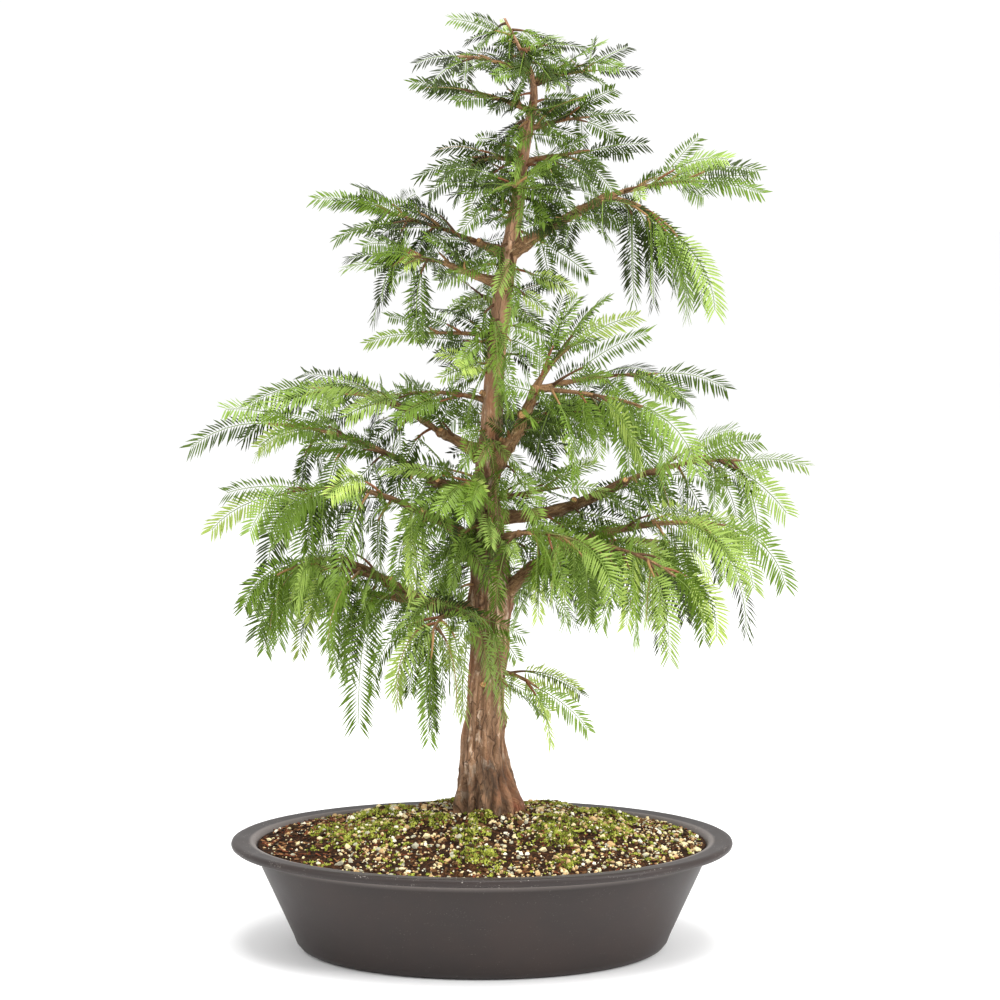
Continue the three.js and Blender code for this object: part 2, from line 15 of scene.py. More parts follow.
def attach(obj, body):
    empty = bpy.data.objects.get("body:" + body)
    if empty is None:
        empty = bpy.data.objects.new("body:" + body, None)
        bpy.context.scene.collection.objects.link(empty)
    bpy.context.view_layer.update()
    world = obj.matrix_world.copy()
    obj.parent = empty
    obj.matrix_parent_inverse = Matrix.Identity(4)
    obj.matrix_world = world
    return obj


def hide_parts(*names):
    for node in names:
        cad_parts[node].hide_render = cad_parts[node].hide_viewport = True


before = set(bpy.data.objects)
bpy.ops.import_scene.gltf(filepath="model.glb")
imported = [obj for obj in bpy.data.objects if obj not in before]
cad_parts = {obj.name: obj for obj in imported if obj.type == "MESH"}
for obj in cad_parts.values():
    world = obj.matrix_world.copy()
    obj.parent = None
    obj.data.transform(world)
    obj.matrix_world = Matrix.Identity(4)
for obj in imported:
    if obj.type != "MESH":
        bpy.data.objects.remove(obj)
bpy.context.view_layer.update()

LOG = logging.getLogger("bonsai")
MM = 0.001
BODY = "root"
POT_OVAL = 0.775
FULL_TURN = 2 * math.pi
ANY_TURN = 6.3
Array = np.ndarray
BMesh = bmesh.types.BMesh
Chance = np.random.Generator
Material = bpy.types.Material
Piece = bpy.types.Object
Pair = tuple[float, float]
Triple = tuple[float, float, float]
Colour = Triple


def srgb(red: int, green: int, blue: int) -> Colour:
    """Returns a display colour, given in 0 to 255, as linear light."""
    shares = [value / 255 for value in (red, green, blue)]
    return tuple(s / 12.92 if s <= 0.04045 else ((s + 0.055) / 1.055) ** 2.4 for s in shares)


def clamp(value: float, low: float = 0.0, high: float = 1.0) -> float:
    """Returns a value kept between two limits."""
    return min(high, max(low, value))


def circle(angle: float) -> Pair:
    """Returns the cosine and the sine of an angle in radians."""
    return math.cos(angle), math.sin(angle)


def ripple(x: float, y: float, z: float) -> float:
    """Returns smooth noise at a place, from -1 to 1."""
    return noise.noise(Vector((x, y, z)))


def off_angle(angle: float, heading: float) -> float:
    """Returns how far an angle in radians is from a heading in degrees, from -pi to pi."""
    return (angle - math.radians(heading) + math.pi) % FULL_TURN - math.pi


def eased(points: Array) -> Array:
    """Returns the inner points of a row, each drawn half way to its neighbours."""
    return (points[:-2] + 2 * points[1:-1] + points[2:]) / 4


class Dice:
    """Chance with a seed: the same seed always gives the same row of numbers."""

    WORD = 0xFFFFFFFF
    STRIDE = 0x6D2B79F5
    SPAN = 4294967296

    def __init__(self, seed: int) -> None:
        """Starts the row of numbers of a seed."""
        self.state = seed & self.WORD

    def roll(self) -> float:
        """Returns the next number from 0 up to 1."""
        self.state = (self.state + self.STRIDE) & self.WORD
        t = self.state
        t = ((t ^ (t >> 15)) * (t | 1)) & self.WORD
        t = (t ^ (t + (((t ^ (t >> 7)) * (t | 61)) & self.WORD))) & self.WORD
        return ((t ^ (t >> 14)) & self.WORD) / self.SPAN

    def near(self, value: float, spread: float) -> float:
        """Returns a number within a spread to either side of a value."""
        return value + (2 * self.roll() - 1) * spread


class Frame(NamedTuple):
    """Unit vectors along, across and over a path, one row for each place on it."""

    along: Array
    across: Array
    over: Array


class Arc:
    """The path of a limb, twig or spray: heading and rise change evenly along it."""

    STEPS = 8
    LOWEST_RISE = -88.0

    def __init__(
        self,
        start: Array,
        heading: float,
        rise: float,
        length: float,
        turn: float = 0,
        bend: float = 0,
    ) -> None:
        """Lays the path out from its start.

        Args:
            start: first point in millimetres.
            heading: direction seen from above, in degrees; 0 is +X and 90 is +Y.
            rise: slope above level, in degrees.
            length: length in millimetres.
            turn: change of the heading over the length.
            bend: change of the rise over the length.
        """
        self.heading, self.turn = heading, turn
        self.rise, self.bend = rise, bend
        self.length = length
        middles = (np.arange(self.STEPS) + 0.5) / self.STEPS
        steps = self.frames(middles).along * (length / self.STEPS)
        self.points = np.vstack([start, start + np.cumsum(steps, axis=0)])

    def heading_at(self, t: float) -> float:
        """Returns the heading at a share of the length."""
        return self.heading + self.turn * t

    def rise_at(self, t: float) -> float:
        """Returns the rise at a share of the length: nothing hangs further than straight down."""
        return max(self.LOWEST_RISE, self.rise + self.bend * t)

    def at(self, t: float | Array) -> Array:
        """Returns the point or points at a share or shares of the length."""
        places = np.asarray(t) * self.STEPS
        knots = np.arange(self.STEPS + 1)
        return np.stack([np.interp(places, knots, self.points[:, k]) for k in range(3)], axis=-1)

    def frames(self, t: Array, roll: float = 0) -> Frame:
        """Gives the path's directions.

        Args:
            t: shares of the length.
            roll: turn about the path, in degrees.

        Returns:
            The directions along, across and over the path at each share.
        """
        heading = np.radians(self.heading + self.turn * t)
        rise = np.radians(np.maximum(self.LOWEST_RISE, self.rise + self.bend * t))
        level = np.cos(rise)
        along = np.stack([level * np.cos(heading), level * np.sin(heading), np.sin(rise)], axis=1)
        side = np.stack([-np.sin(heading), np.cos(heading), np.zeros_like(heading)], axis=1)
        turned = math.radians(roll)
        across = side * math.cos(turned) + np.cross(along, side) * math.sin(turned)
        return Frame(along, across, np.cross(along, across))


class Section(NamedTuple):
    """One place on the trunk, in millimetres."""

    z: float
    x: float
    y: float
    radius: float


TRUNK_SECTIONS = [
    Section(*row)
    for row in (
        (104.3, 5, 40, 27), (114, 4, 40, 23), (135, 2, 40, 19), (160, 1, 39, 16.5),
        (204, 3, 38, 15), (258, 6, 36, 15), (307, 6, 34, 16.5), (356, 2, 32, 11),
        (404, 7, 30, 8.6), (452, 10, 28, 8.2), (508, 14, 26, 7.6), (555, 22, 24, 6.4),
        (594, 29, 22, 5.6), (641, 34, 20, 4.4), (671, 41, 18, 3.2), (684, 43, 17, 2.8),
        (698, 38, 16, 2.3), (714, 29, 15, 1.8), (736, 18, 13, 1),
    )
]


def trunk_at(height: float | Array) -> Array:
    """Returns x, y, z and the radius of the trunk at a height or heights, in millimetres."""
    table = np.array(TRUNK_SECTIONS)
    columns = [np.interp(height, table[:, 0], table[:, k]) for k in (1, 2, 3)]
    return np.stack([columns[0], columns[1], np.asarray(height, float), columns[2]], axis=-1)


class BoughRow(NamedTuple):
    """One main bough: it leaves the trunk at a height, or a bough at a share of its length."""

    name: str
    on: str
    at: float
    heading: float
    rise: float
    length: float
    turn: float
    bend: float
    radius: float


BOUGHS = [
    BoughRow(*row)
    for row in (
        ("left_low", "trunk", 268, 187, -9, 88, -6, 48, 6.6),
        ("left_low_front", "left_low", 0.3, 254, 2, 34, 0, -8, 3.4),
        ("left_low_back", "left_low", 0.55, 138, 6, 48, 10, -6, 3.6),
        ("left_mid", "trunk", 304, 214, 54, 74, -18, -36, 5.6),
        ("left_shoulder", "trunk", 360, 180, 8, 44, 0, 14, 6),
        ("left_upper", "trunk", 388, 156, 30, 46, 10, -6, 5.4),
        ("right_low", "trunk", 266, -14, 52, 118, 8, -36, 6.6),
        ("right_low_front", "right_low", 0.72, -48, 8, 44, 12, -10, 3.6),
        ("right_low_back", "right_low", 0.62, 48, 10, 52, -8, -10, 3.6),
        ("right_mid", "trunk", 342, 14, -5, 118, -8, 36, 5.4),
        ("right_stub", "trunk", 376, -38, 44, 84, 14, 26, 6),
        ("right_rear", "right_stub", 0.45, 56, 26, 46, -8, -8, 3.4),
        ("right_front", "trunk", 322, -64, 12, 48, 12, 2, 4),
        ("right_high", "trunk", 552, -18, 33, 90, 12, -6, 4.8),
        ("left_high", "trunk", 550, 166, 24, 34, 5, -2, 3.6),
        ("left_high_front", "trunk", 528, 204, 14, 52, -12, 10, 3.4),
        ("back_low", "trunk", 290, 98, 20, 62, 6, -12, 4.8),
        ("back_mid", "trunk", 396, 80, 22, 54, 6, -10, 4.4),
    )
]
BOUGH_TAPER = 0.68


class Knot(NamedTuple):
    """A lump on the trunk: height above the ground, heading, size and how far it stands out."""

    at: float
    heading: float
    size: float
    height: float


KNOTS = [
    Knot(*row)
    for row in (
        (212, 268, 7, 2.6), (176, 2, 6, 2.4), (150, 215, 9, 1.8), (262, 300, 9, 2.2),
        (272, 186, 12, 3.2), (275, -10, 12, 3.2), (292, 250, 9, 2.0), (312, 212, 12, 3.0),
        (326, 292, 8, 2.2), (344, 14, 10, 3.0), (362, 180, 10, 2.8), (380, -38, 10, 2.8),
        (394, 150, 9, 2.4), (436, 262, 5, 1.6), (470, 190, 5, 1.8), (506, 20, 5, 1.4),
        (534, 204, 6, 2.0), (554, 166, 7, 2.2), (557, -18, 7, 2.4), (602, 262, 4, 1.4),
        (626, 178, 4, 1.3), (650, 0, 3.5, 1.2), (688, 176, 3, 1.0),
    )
]


class Stub(NamedTuple):
    """A pruned branch with a pale cut face: where it stands and its size in millimetres."""

    on: str
    at: float
    heading: float
    rise: float
    radius: float
    length: float


class Root(NamedTuple):
    """A root ridge at the trunk's foot: its heading, its height and half its width in radians."""

    heading: float
    height: float
    width: float


ROOTS = [
    Root(*row)
    for row in (
        (14, 5, 0.17), (48, 6, 0.2), (84, 5, 0.18), (116, 7, 0.2), (150, 5, 0.18), (178, 6, 0.17),
        (206, 8, 0.2), (236, 5, 0.16), (262, 7, 0.19), (290, 5, 0.16), (316, 7, 0.18),
        (342, 10, 0.17),
    )
]


STUBS = [
    Stub(*row)
    for row in (
        ("trunk", 212, 262, -12, 3.0, 6), ("trunk", 238, 200, 20, 1.6, 9),
        ("trunk", 178, 8, 10, 2.0, 4), ("trunk", 300, 282, 12, 2.6, 5),
        ("trunk", 436, 214, 30, 2.2, 7), ("trunk", 520, 285, 24, 1.6, 6),
        ("trunk", 588, 200, 30, 1.6, 7), ("left_mid", 0.98, 262, 30, 3.0, 5),
        ("left_upper", 0.9, 238, 34, 2.6, 6), ("left_shoulder", 0.86, 260, 24, 2.4, 5),
        ("left_low", 0.52, 268, 22, 2.4, 5), ("left_low", 0.96, 280, 40, 2.4, 5),
        ("right_low", 0.5, 262, 20, 2.4, 5), ("right_mid", 0.62, 270, 40, 3.0, 5),
        ("right_mid", 0.98, 292, 26, 2.6, 6), ("right_stub", 0.72, 254, 12, 4.2, 4),
        ("right_stub", 0.4, 200, 30, 2.2, 5), ("right_high", 0.55, 250, 26, 2.4, 5),
        ("left_high", 0.7, 250, 30, 2.0, 5), ("back_low", 0.6, 40, 24, 2.4, 5),
        ("back_mid", 0.6, 130, 24, 2.4, 5),
    )
]


@dataclass(frozen=True)
class Growth:
    """How a mass grows: lengths in millimetres and angles in degrees.

    Attributes:
        twig: length of a twig.
        fan: angle of a twig to its stem.
        stray: how far a twig's rise strays.
        spray: length of a spray of needles.
        hang: how far a spray hangs over its length.
    """

    twig: float
    fan: float
    stray: float
    spray: float
    hang: float


class Habit(Enum):
    """Habits of growth, from the low weeping boughs to the small sprays of the tip."""

    WEEPING = Growth(30, 60, 16, 73, 80)
    DROOPING = Growth(31, 56, 18, 70, 62)
    ARCHING = Growth(33, 53, 18, 64, 38)
    LEVEL = Growth(28, 55, 22, 52, 30)
    CROWN = Growth(26, 55, 32, 47, 32)
    TIP = Growth(22, 50, 28, 38, 24)


class MassRow(NamedTuple):
    """One mass of foliage: its stem goes on from a bough's tip or leaves the trunk."""

    name: str
    on: str
    at: float
    habit: Habit
    heading: float
    rise: float
    length: float
    bend: float
    twigs: int


MASSES = [
    MassRow(*row)
    for row in (
        ("left_low", "left_low", 1, Habit.WEEPING, 178, 38, 78, -52, 4),
        ("left_low_spur", "left_low", 1, Habit.WEEPING, 204, 24, 78, -24, 4),
        ("left_low_front", "left_low_front", 1, Habit.WEEPING, 258, 4, 46, -30, 4),
        ("left_low_back", "left_low_back", 1, Habit.WEEPING, 150, 12, 70, -14, 4),
        ("left_mid", "left_mid", 1, Habit.DROOPING, 190, 33, 120, -50, 6),
        ("left_shoulder", "left_shoulder", 1, Habit.ARCHING, 180, 36, 142, -34, 6),
        ("left_upper", "left_upper", 1, Habit.ARCHING, 169, 36, 114, -36, 6),
        ("left_top", "trunk", 434, Habit.LEVEL, 174, 18, 74, -26, 4),
        ("right_low", "right_low", 1, Habit.DROOPING, -6, 16, 94, -24, 5),
        ("right_low_front", "right_low_front", 1, Habit.WEEPING, -34, -6, 62, -24, 4),
        ("right_low_back", "right_low_back", 1, Habit.WEEPING, 36, 4, 72, -16, 4),
        ("right_front", "right_front", 1, Habit.WEEPING, -40, 8, 54, -18, 4),
        ("right_inner", "trunk", 354, Habit.LEVEL, 6, 14, 62, -8, 4),
        ("right_mid", "right_mid", 1, Habit.ARCHING, 4, 24, 98, -28, 5),
        ("right_stub", "right_stub", 1, Habit.LEVEL, 14, 66, 54, -40, 4),
        ("right_fan", "right_stub", 1, Habit.ARCHING, 4, 14, 98, -14, 4),
        ("right_fan_low", "right_stub", 1, Habit.DROOPING, -24, 0, 92, -14, 4),
        ("right_rear", "right_rear", 1, Habit.DROOPING, 42, 18, 56, -18, 4),
        ("right_high", "right_high", 1, Habit.LEVEL, 0, 18, 80, -18, 5),
        ("right_high_low", "right_high", 1, Habit.DROOPING, -4, -6, 66, -46, 4),
        ("left_high", "left_high", 1, Habit.LEVEL, 173, 22, 86, -10, 6),
        ("left_high_front", "left_high_front", 1, Habit.LEVEL, 196, 20, 34, -22, 4),
        ("back_low", "back_low", 1, Habit.WEEPING, 100, 8, 66, -16, 3),
        ("back_mid", "back_mid", 1, Habit.DROOPING, 86, 12, 58, -14, 3),
        ("back_high", "trunk", 504, Habit.LEVEL, 100, 18, 84, -18, 4),
        ("low_right", "trunk", 216, Habit.LEVEL, -14, 6, 46, -44, 3),
        ("front_mid", "trunk", 370, Habit.LEVEL, -118, 12, 44, -22, 4),
        ("left_slim", "trunk", 486, Habit.TIP, 180, 10, 66, -16, 3),
        ("crown_left", "trunk", 626, Habit.CROWN, 178, 6, 40, -6, 4),
        ("crown_right", "trunk", 624, Habit.CROWN, -2, 14, 54, -10, 4),
        ("crown_front", "trunk", 602, Habit.CROWN, -98, 12, 40, -14, 4),
        ("crown_back", "trunk", 608, Habit.CROWN, 94, 14, 42, -14, 3),
        ("leader_left", "trunk", 664, Habit.TIP, 180, 24, 58, -14, 4),
        ("leader_right", "trunk", 650, Habit.TIP, 0, 18, 50, -14, 4),
        ("leader_back", "trunk", 650, Habit.TIP, 84, 20, 32, -10, 3),
        ("tip_left", "trunk", 692, Habit.TIP, 176, 26, 62, -24, 4),
        ("tip_right", "trunk", 688, Habit.TIP, 6, 16, 50, -14, 4),
        ("tip", "trunk", 710, Habit.TIP, 30, 20, 12, -16, 2),
    )
]
STEM_RADIUS_ON_TRUNK = 1.8
STEM_TIP_RADIUS = 0.9


@dataclass(frozen=True)
class Spray:
    """One flat spray of needles on its path.

    Attributes:
        arc: the path of its midrib.
        roll: turn of its plane about the path, in degrees.
        inner: how far in it sits on its stem: 0 for an end spray, 1 for one near the stem's root.
        seed: seed of its needles.
    """

    arc: Arc
    roll: float
    inner: float
    seed: int


@dataclass(frozen=True)
class Grown:
    """What one stem carries: its own path, its twigs and all their sprays."""

    stem: Arc
    twigs: list[Arc]
    sprays: list[Spray]


class Stray(NamedTuple):
    """How far chance takes a spray to either side: angles in degrees, its length as a share."""

    heading: float = 12
    rise: float = 12
    length: float = 0.14
    hang: float = 14
    roll: float = 35
    turn: float = 14


class Seeds(NamedTuple):
    """Steps and starts of the seeds, so that no two twigs, stems or shoots share one."""

    mass: int = 101
    twig: int = 7
    end: int = 97
    stem: int = 50
    shoot: int = 211
    shoot_start: int = 5


@dataclass(frozen=True)
class Rule:
    """The growth rule of a mass, carried on to finer sprays than the solids have.

    Angles are in degrees, and lengths are shares of the habit's own. A pair is a middle value and
    how far chance strays from it. Names with fine_ are of the finer sprays on a twig, those with
    stem_ of the sprays straight on a stem, and those with shoot_ of the small shoots on bark.
    """

    fine_shares: tuple[float, ...] = (0.6,)
    fine_fan: float = 52
    fine_scale: float = 0.7
    stem_fan: float = 58
    stem_scale: float = 0.74
    stem_sprays: int = 1
    facing: float = 0.7
    loose: float = 2.1
    drop: float = 0.28
    fine_hang: float = 0.66
    lift: float = 4
    stray: Stray = Stray()
    seeds: Seeds = Seeds()
    first: float = 0.12
    spans: Pair = (0.8, 0.83)
    jitter: float = 0.35
    twig_scale: Pair = (1.05, 0.12)
    twig_shrink: float = 0.45
    twig_heading: float = 9
    twig_lift: float = 3
    twig_turn: Pair = (18, 8)
    twig_bend: Pair = (0.3, 8)
    end_inner: float = 0.5
    fine_inner: Pair = (0.4, 0.3)
    shoot_scale: Pair = (0.6, 0.2)
    shoot_stray: Triple = (20, 24, 20)
    shoot_bend: float = -20
    shoot_end: float = 0.8
    shoot_side: float = 0.62
    shoot_sides: tuple[Pair, ...] = ((0.85, 1), (0.55, -1))
    shoot_inner: float = 0.9

    def spray(
        self,
        parent: Arc,
        share: float,
        growth: Growth,
        dice: Dice,
        turn_out: float = 0,
        scale: float = 1,
        inner: float = 0,
        fine: bool = False,
    ) -> Spray:
        """Grows one spray.

        Args:
            parent: the twig or stem that carries it.
            share: place on the parent, as a share of its length.
            growth: lengths and angles of the habit.
            dice: chance.
            turn_out: angle to the parent, in degrees.
            scale: length against the habit's own.
            inner: how far in it sits.
            fine: whether it is one of the finer sprays, which stray further.

        Returns:
            The spray.
        """
        loose = self.loose if fine else 1
        stray = self.stray
        heading = dice.near(parent.heading_at(share) + turn_out, stray.heading * loose)
        rise = parent.rise_at(share) + dice.near(self.lift, stray.rise * loose)
        rise -= fine * self.drop * growth.hang
        length = growth.spray * dice.near(scale, stray.length * loose)
        bend = -dice.near(growth.hang, stray.hang * loose) * (self.fine_hang if fine else 1)
        roll = dice.near(0, stray.roll * loose)
        roll += math.copysign(self.facing * growth.hang, roll)
        turn = dice.near(0, stray.turn)
        arc = Arc(parent.at(share), heading, rise, length, turn, bend)
        return Spray(arc, roll, inner, dice.state)

    def grow(self, stem: Arc, growth: Growth, count: int, seed: int) -> Grown:
        """Grows all that a stem carries.

        Args:
            stem: the stem's path.
            growth: lengths and angles of the habit.
            count: number of twigs.
            seed: number of the mass.

        Returns:
            The stem with its twigs and sprays.
        """
        twigs, sprays = [], []
        seeds = self.seeds
        for i in range(count):
            dice = Dice(seed * seeds.mass + i * seeds.twig)
            t = self.first + self.spans[0] * (i + self.jitter * dice.roll()) / count
            side = 1 if i % 2 else -1
            length = growth.twig * (dice.near(*self.twig_scale) - self.twig_shrink * t)
            heading = dice.near(stem.heading_at(t) + side * growth.fan, self.twig_heading)
            rise = stem.rise_at(t) + dice.near(self.twig_lift, growth.stray)
            turn = -side * dice.near(*self.twig_turn)
            bend = -dice.near(self.twig_bend[0] * growth.hang, self.twig_bend[1])
            twig = Arc(stem.at(t), heading, rise, length, turn, bend)
            twigs.append(twig)
            sprays.append(self.spray(twig, 1, growth, dice, inner=self.end_inner * (1 - t)))
            first = 1 if dice.roll() < 0.5 else -1
            for k, share in enumerate(self.fine_shares):
                out = (first if k % 2 else -first) * self.fine_fan
                inner = 1 - self.fine_inner[0] * t - self.fine_inner[1] * share
                sprays.append(
                    self.spray(twig, share, growth, dice, out, self.fine_scale, inner, True)
                )
        sprays.append(self.spray(stem, 1, growth, Dice(seed * seeds.mass + seeds.end)))
        fine_count = self.stem_sprays * count
        for i in range(fine_count):
            dice = Dice(seed * seeds.mass + i * seeds.twig + seeds.stem)
            t = self.first + self.spans[1] * (i + self.jitter * dice.roll()) / fine_count
            out = (-1 if i % 2 else 1) * self.stem_fan
            sprays.append(self.spray(stem, t, growth, dice, out, self.stem_scale, 1 - t, True))
        return Grown(stem, twigs, sprays)

    def shoot(
        self,
        start: Array,
        heading: float,
        growth: Growth,
        seed: int,
        rise: float = 6,
        scale: float = 1,
    ) -> Grown:
        """Grows one short shoot straight from the bark of a limb.

        Args:
            start: point on the limb.
            heading: the way it points, in degrees.
            growth: lengths and angles of the habit.
            seed: number of the shoot.
            rise: how steeply it climbs at first, in degrees.
            scale: its size against the usual one.

        Returns:
            The shoot's twig with its sprays.
        """
        dice = Dice(seed * self.seeds.shoot + self.seeds.shoot_start)
        length = growth.twig * dice.near(*self.shoot_scale) * scale
        strays = self.shoot_stray
        heading, rise = dice.near(heading, strays[0]), dice.near(rise, strays[1])
        twig = Arc(start, heading, rise, length, dice.near(0, strays[2]), self.shoot_bend)
        end = self.shoot_end * scale
        sprays = [self.spray(twig, 1, growth, dice, 0, end, self.shoot_inner, True)]
        for share, side in self.shoot_sides:
            out = side * self.fine_fan
            sprays.append(
                self.spray(twig, share, growth, dice, out, self.shoot_side * scale, 1, True)
            )
        return Grown(twig, [twig], sprays)


class Bundle:
    """Many small closed bodies, gathered as arrays and joined into one mesh."""

    def __init__(self) -> None:
        """Starts with no bodies."""
        self.points: list[Array] = []
        self.faces: list[Array] = []
        self.tints: list[Array] = []
        self.count = 0

    def add(self, points: Array, faces: Array, tint: int) -> None:
        """Adds bodies.

        Args:
            points: corners in millimetres, one row each.
            faces: triangles as rows of indices into the points.
            tint: index of the material that they take.
        """
        self.points.append(points)
        self.faces.append(faces + self.count)
        self.tints.append(np.full(len(faces), tint))
        self.count += len(points)

    def add_copies(self, points: Array, faces: Array, tint: int) -> None:
        """Adds copies of one body, given as an array of bodies by corners by 3."""
        bodies, corners, _ = points.shape
        shifts = np.arange(bodies)[:, None, None] * corners
        self.add(points.reshape(-1, 3), (faces[None] + shifts).reshape(-1, 3), tint)

    def add_tube(
        self, path: Array, frames: Frame, radii: Array, sides: int, tint: int
    ) -> None:
        """Adds a closed tube along a path.

        Args:
            path: centre of each ring, in millimetres.
            frames: directions at each ring.
            radii: radius of each ring.
            sides: number of sides.
            tint: index of the material that it takes.
        """
        angles = np.arange(sides) * (FULL_TURN / sides)
        ring = np.cos(angles)[None, :, None] * frames.across[:, None]
        ring = ring + np.sin(angles)[None, :, None] * frames.over[:, None]
        rings = path[:, None] + ring * radii[:, None, None]
        points = np.vstack([rings.reshape(-1, 3), path[0], path[-1]])
        first, second = np.arange(sides), (np.arange(sides) + 1) % sides
        starts = np.arange(len(path) - 1)[:, None] * sides
        low, nxt = (starts + first).ravel(), (starts + second).ravel()
        bands = [
            np.stack([low, nxt, nxt + sides], 1),
            np.stack([low, nxt + sides, low + sides], 1),
        ]
        root, end = len(points) - 2, len(points) - 1
        last = (len(path) - 1) * sides
        start_cap = np.stack([second, first, np.full(sides, root)], 1)
        end_cap = np.stack([last + first, last + second, np.full(sides, end)], 1)
        self.add(points, np.vstack([*bands, start_cap, end_cap]), tint)

    def object(self, name: str, materials: Sequence[Material], smooth: bool = False) -> Piece:
        """Makes the one mesh of all the bodies.

        Args:
            name: name of the piece.
            materials: the materials that the tints count.
            smooth: whether its faces shade smoothly.

        Returns:
            The new object, in metres.
        """
        points, faces = np.vstack(self.points) * MM, np.vstack(self.faces)
        mesh = bpy.data.meshes.new(name)
        mesh.vertices.add(len(points))
        mesh.vertices.foreach_set("co", points.astype(np.float32).ravel())
        mesh.loops.add(faces.size)
        mesh.loops.foreach_set("vertex_index", faces.astype(np.int32).ravel())
        mesh.polygons.add(len(faces))
        mesh.polygons.foreach_set("loop_start", np.arange(0, faces.size, 3, dtype=np.int32))
        mesh.polygons.foreach_set("material_index", np.concatenate(self.tints).astype(np.int32))
        mesh.polygons.foreach_set("use_smooth", np.full(len(faces), smooth))
        mesh.update(calc_edges=True)
        for material in materials:
            mesh.materials.append(material)
        return bpy.data.objects.new(name, mesh)


def set_out(piece: Piece, slot: str, *nodes: str) -> None:
    """Puts a finished piece in the scene.

    Args:
        piece: the new object, with its place in its mesh.
        slot: the record's material slot for the piece; not used.
        nodes: the solids that it stands for.
    """
    bpy.context.scene.collection.objects.link(piece)
    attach(piece, BODY)
    if nodes:
        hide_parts(*nodes)
    LOG.info("%s: %d faces", piece.name, len(piece.data.polygons))


def turned(outline: Sequence[Pair], steps: int) -> BMesh:
    """Turns an outline about the upright axis into a closed body.

    Args:
        outline: radius and height of each corner, in millimetres.
        steps: number of faces round the body.

    Returns:
        The new mesh.
    """
    bm = bmesh.new()
    verts = [bm.verts.new((radius, 0, height)) for radius, height in outline]
    edges = [bm.edges.new(pair) for pair in zip(verts, verts[1:])]
    bmesh.ops.spin(
        bm, geom=verts + edges, cent=(0, 0, 0), axis=(0, 0, 1), dvec=(0, 0, 0), angle=FULL_TURN,
        steps=steps, use_merge=True, use_normal_flip=False, use_duplicate=False,
    )
    bmesh.ops.remove_doubles(bm, verts=bm.verts, dist=1e-3)
    return bm


def arrays_of(bm: BMesh) -> tuple[Array, Array]:
    """Returns the corners and the triangles of a small mesh, which is freed."""
    bm.verts.index_update()
    corners = np.array([vert.co[:] for vert in bm.verts])
    faces = np.array([[vert.index for vert in face.verts] for face in bm.faces])
    bm.free()
    return corners, faces


def object_of(bm: BMesh, name: str, materials: Sequence[Material]) -> Piece:
    """Turns a bmesh in millimetres into a smooth shaded object in metres.

    Args:
        bm: the mesh, which is freed.
        name: name of the piece.
        materials: its materials.

    Returns:
        The new object.
    """
    bmesh.ops.scale(bm, vec=Vector((MM, MM, MM)), verts=bm.verts)
    for face in bm.faces:
        face.smooth = True
    mesh = bpy.data.meshes.new(name)
    bm.to_mesh(mesh)
    bm.free()
    for material in materials:
        mesh.materials.append(material)
    return bpy.data.objects.new(name, mesh)


Ring = tuple[Array, Array, Array, float]
Relief = Callable[[float, float, float, float], Pair]


def bark_layers(bm: BMesh) -> tuple[Any, Any]:
    """Returns a mesh's layers for the place on the bark and for how open to light it is."""
    places, depths = bm.verts.layers.float_vector, bm.verts.layers.float
    return places.get("bark") or places.new("bark"), depths.get("open") or depths.new("open")


@dataclass(frozen=True)
class Skin:
    """A closed tube of bark laid round a path, with its relief in the mesh.

    Attributes:
        sides: number of faces round it.
        pitch: length of one face along it, in millimetres.
    """

    sides: int
    pitch: float

    def wrap(
        self, bm: BMesh, length: float, ring: Callable[[float], Ring], relief: Relief
    ) -> None:
        """Rolls a grid up into a closed tube.

        Args:
            bm: the mesh that it joins.
            length: length of the path in millimetres.
            ring: gives the centre, the directions across and over, and the radius at a share.
            relief: gives the bark's height and how open to light it is, from the angle, the
                distance along, the radius and the share.
        """
        layer, depth = bark_layers(bm)
        rows = max(3, round(length / self.pitch))
        grid = bmesh.ops.create_grid(bm, x_segments=rows, y_segments=self.sides, size=1)["verts"]
        rings: dict[int, Ring] = {}
        for vert in grid:
            row = round((vert.co.x + 1) / 2 * rows)
            if row not in rings:
                rings[row] = ring(row / rows)
            centre, across, over, radius = rings[row]
            side = round((vert.co.y + 1) / 2 * self.sides) % self.sides
            angle = side / self.sides * FULL_TURN
            distance = row / rows * length
            height, vert[depth] = relief(angle, distance, radius, row / rows)
            cosine, sine = circle(angle)
            vert.co = Vector(centre + (across * cosine + over * sine) * (radius + height))
            vert[layer] = Vector((cosine * radius, sine * radius, distance)) * MM
        bmesh.ops.remove_doubles(bm, verts=grid, dist=1e-4)
        live = [vert for vert in grid if vert.is_valid]
        rims = {edge for vert in live for edge in vert.link_edges if edge.is_boundary}
        caps = bmesh.ops.holes_fill(bm, edges=list(rims), sides=0)["faces"]
        faces = {face for vert in live for face in vert.link_faces} | set(caps)
        bmesh.ops.recalc_face_normals(bm, faces=list(faces))


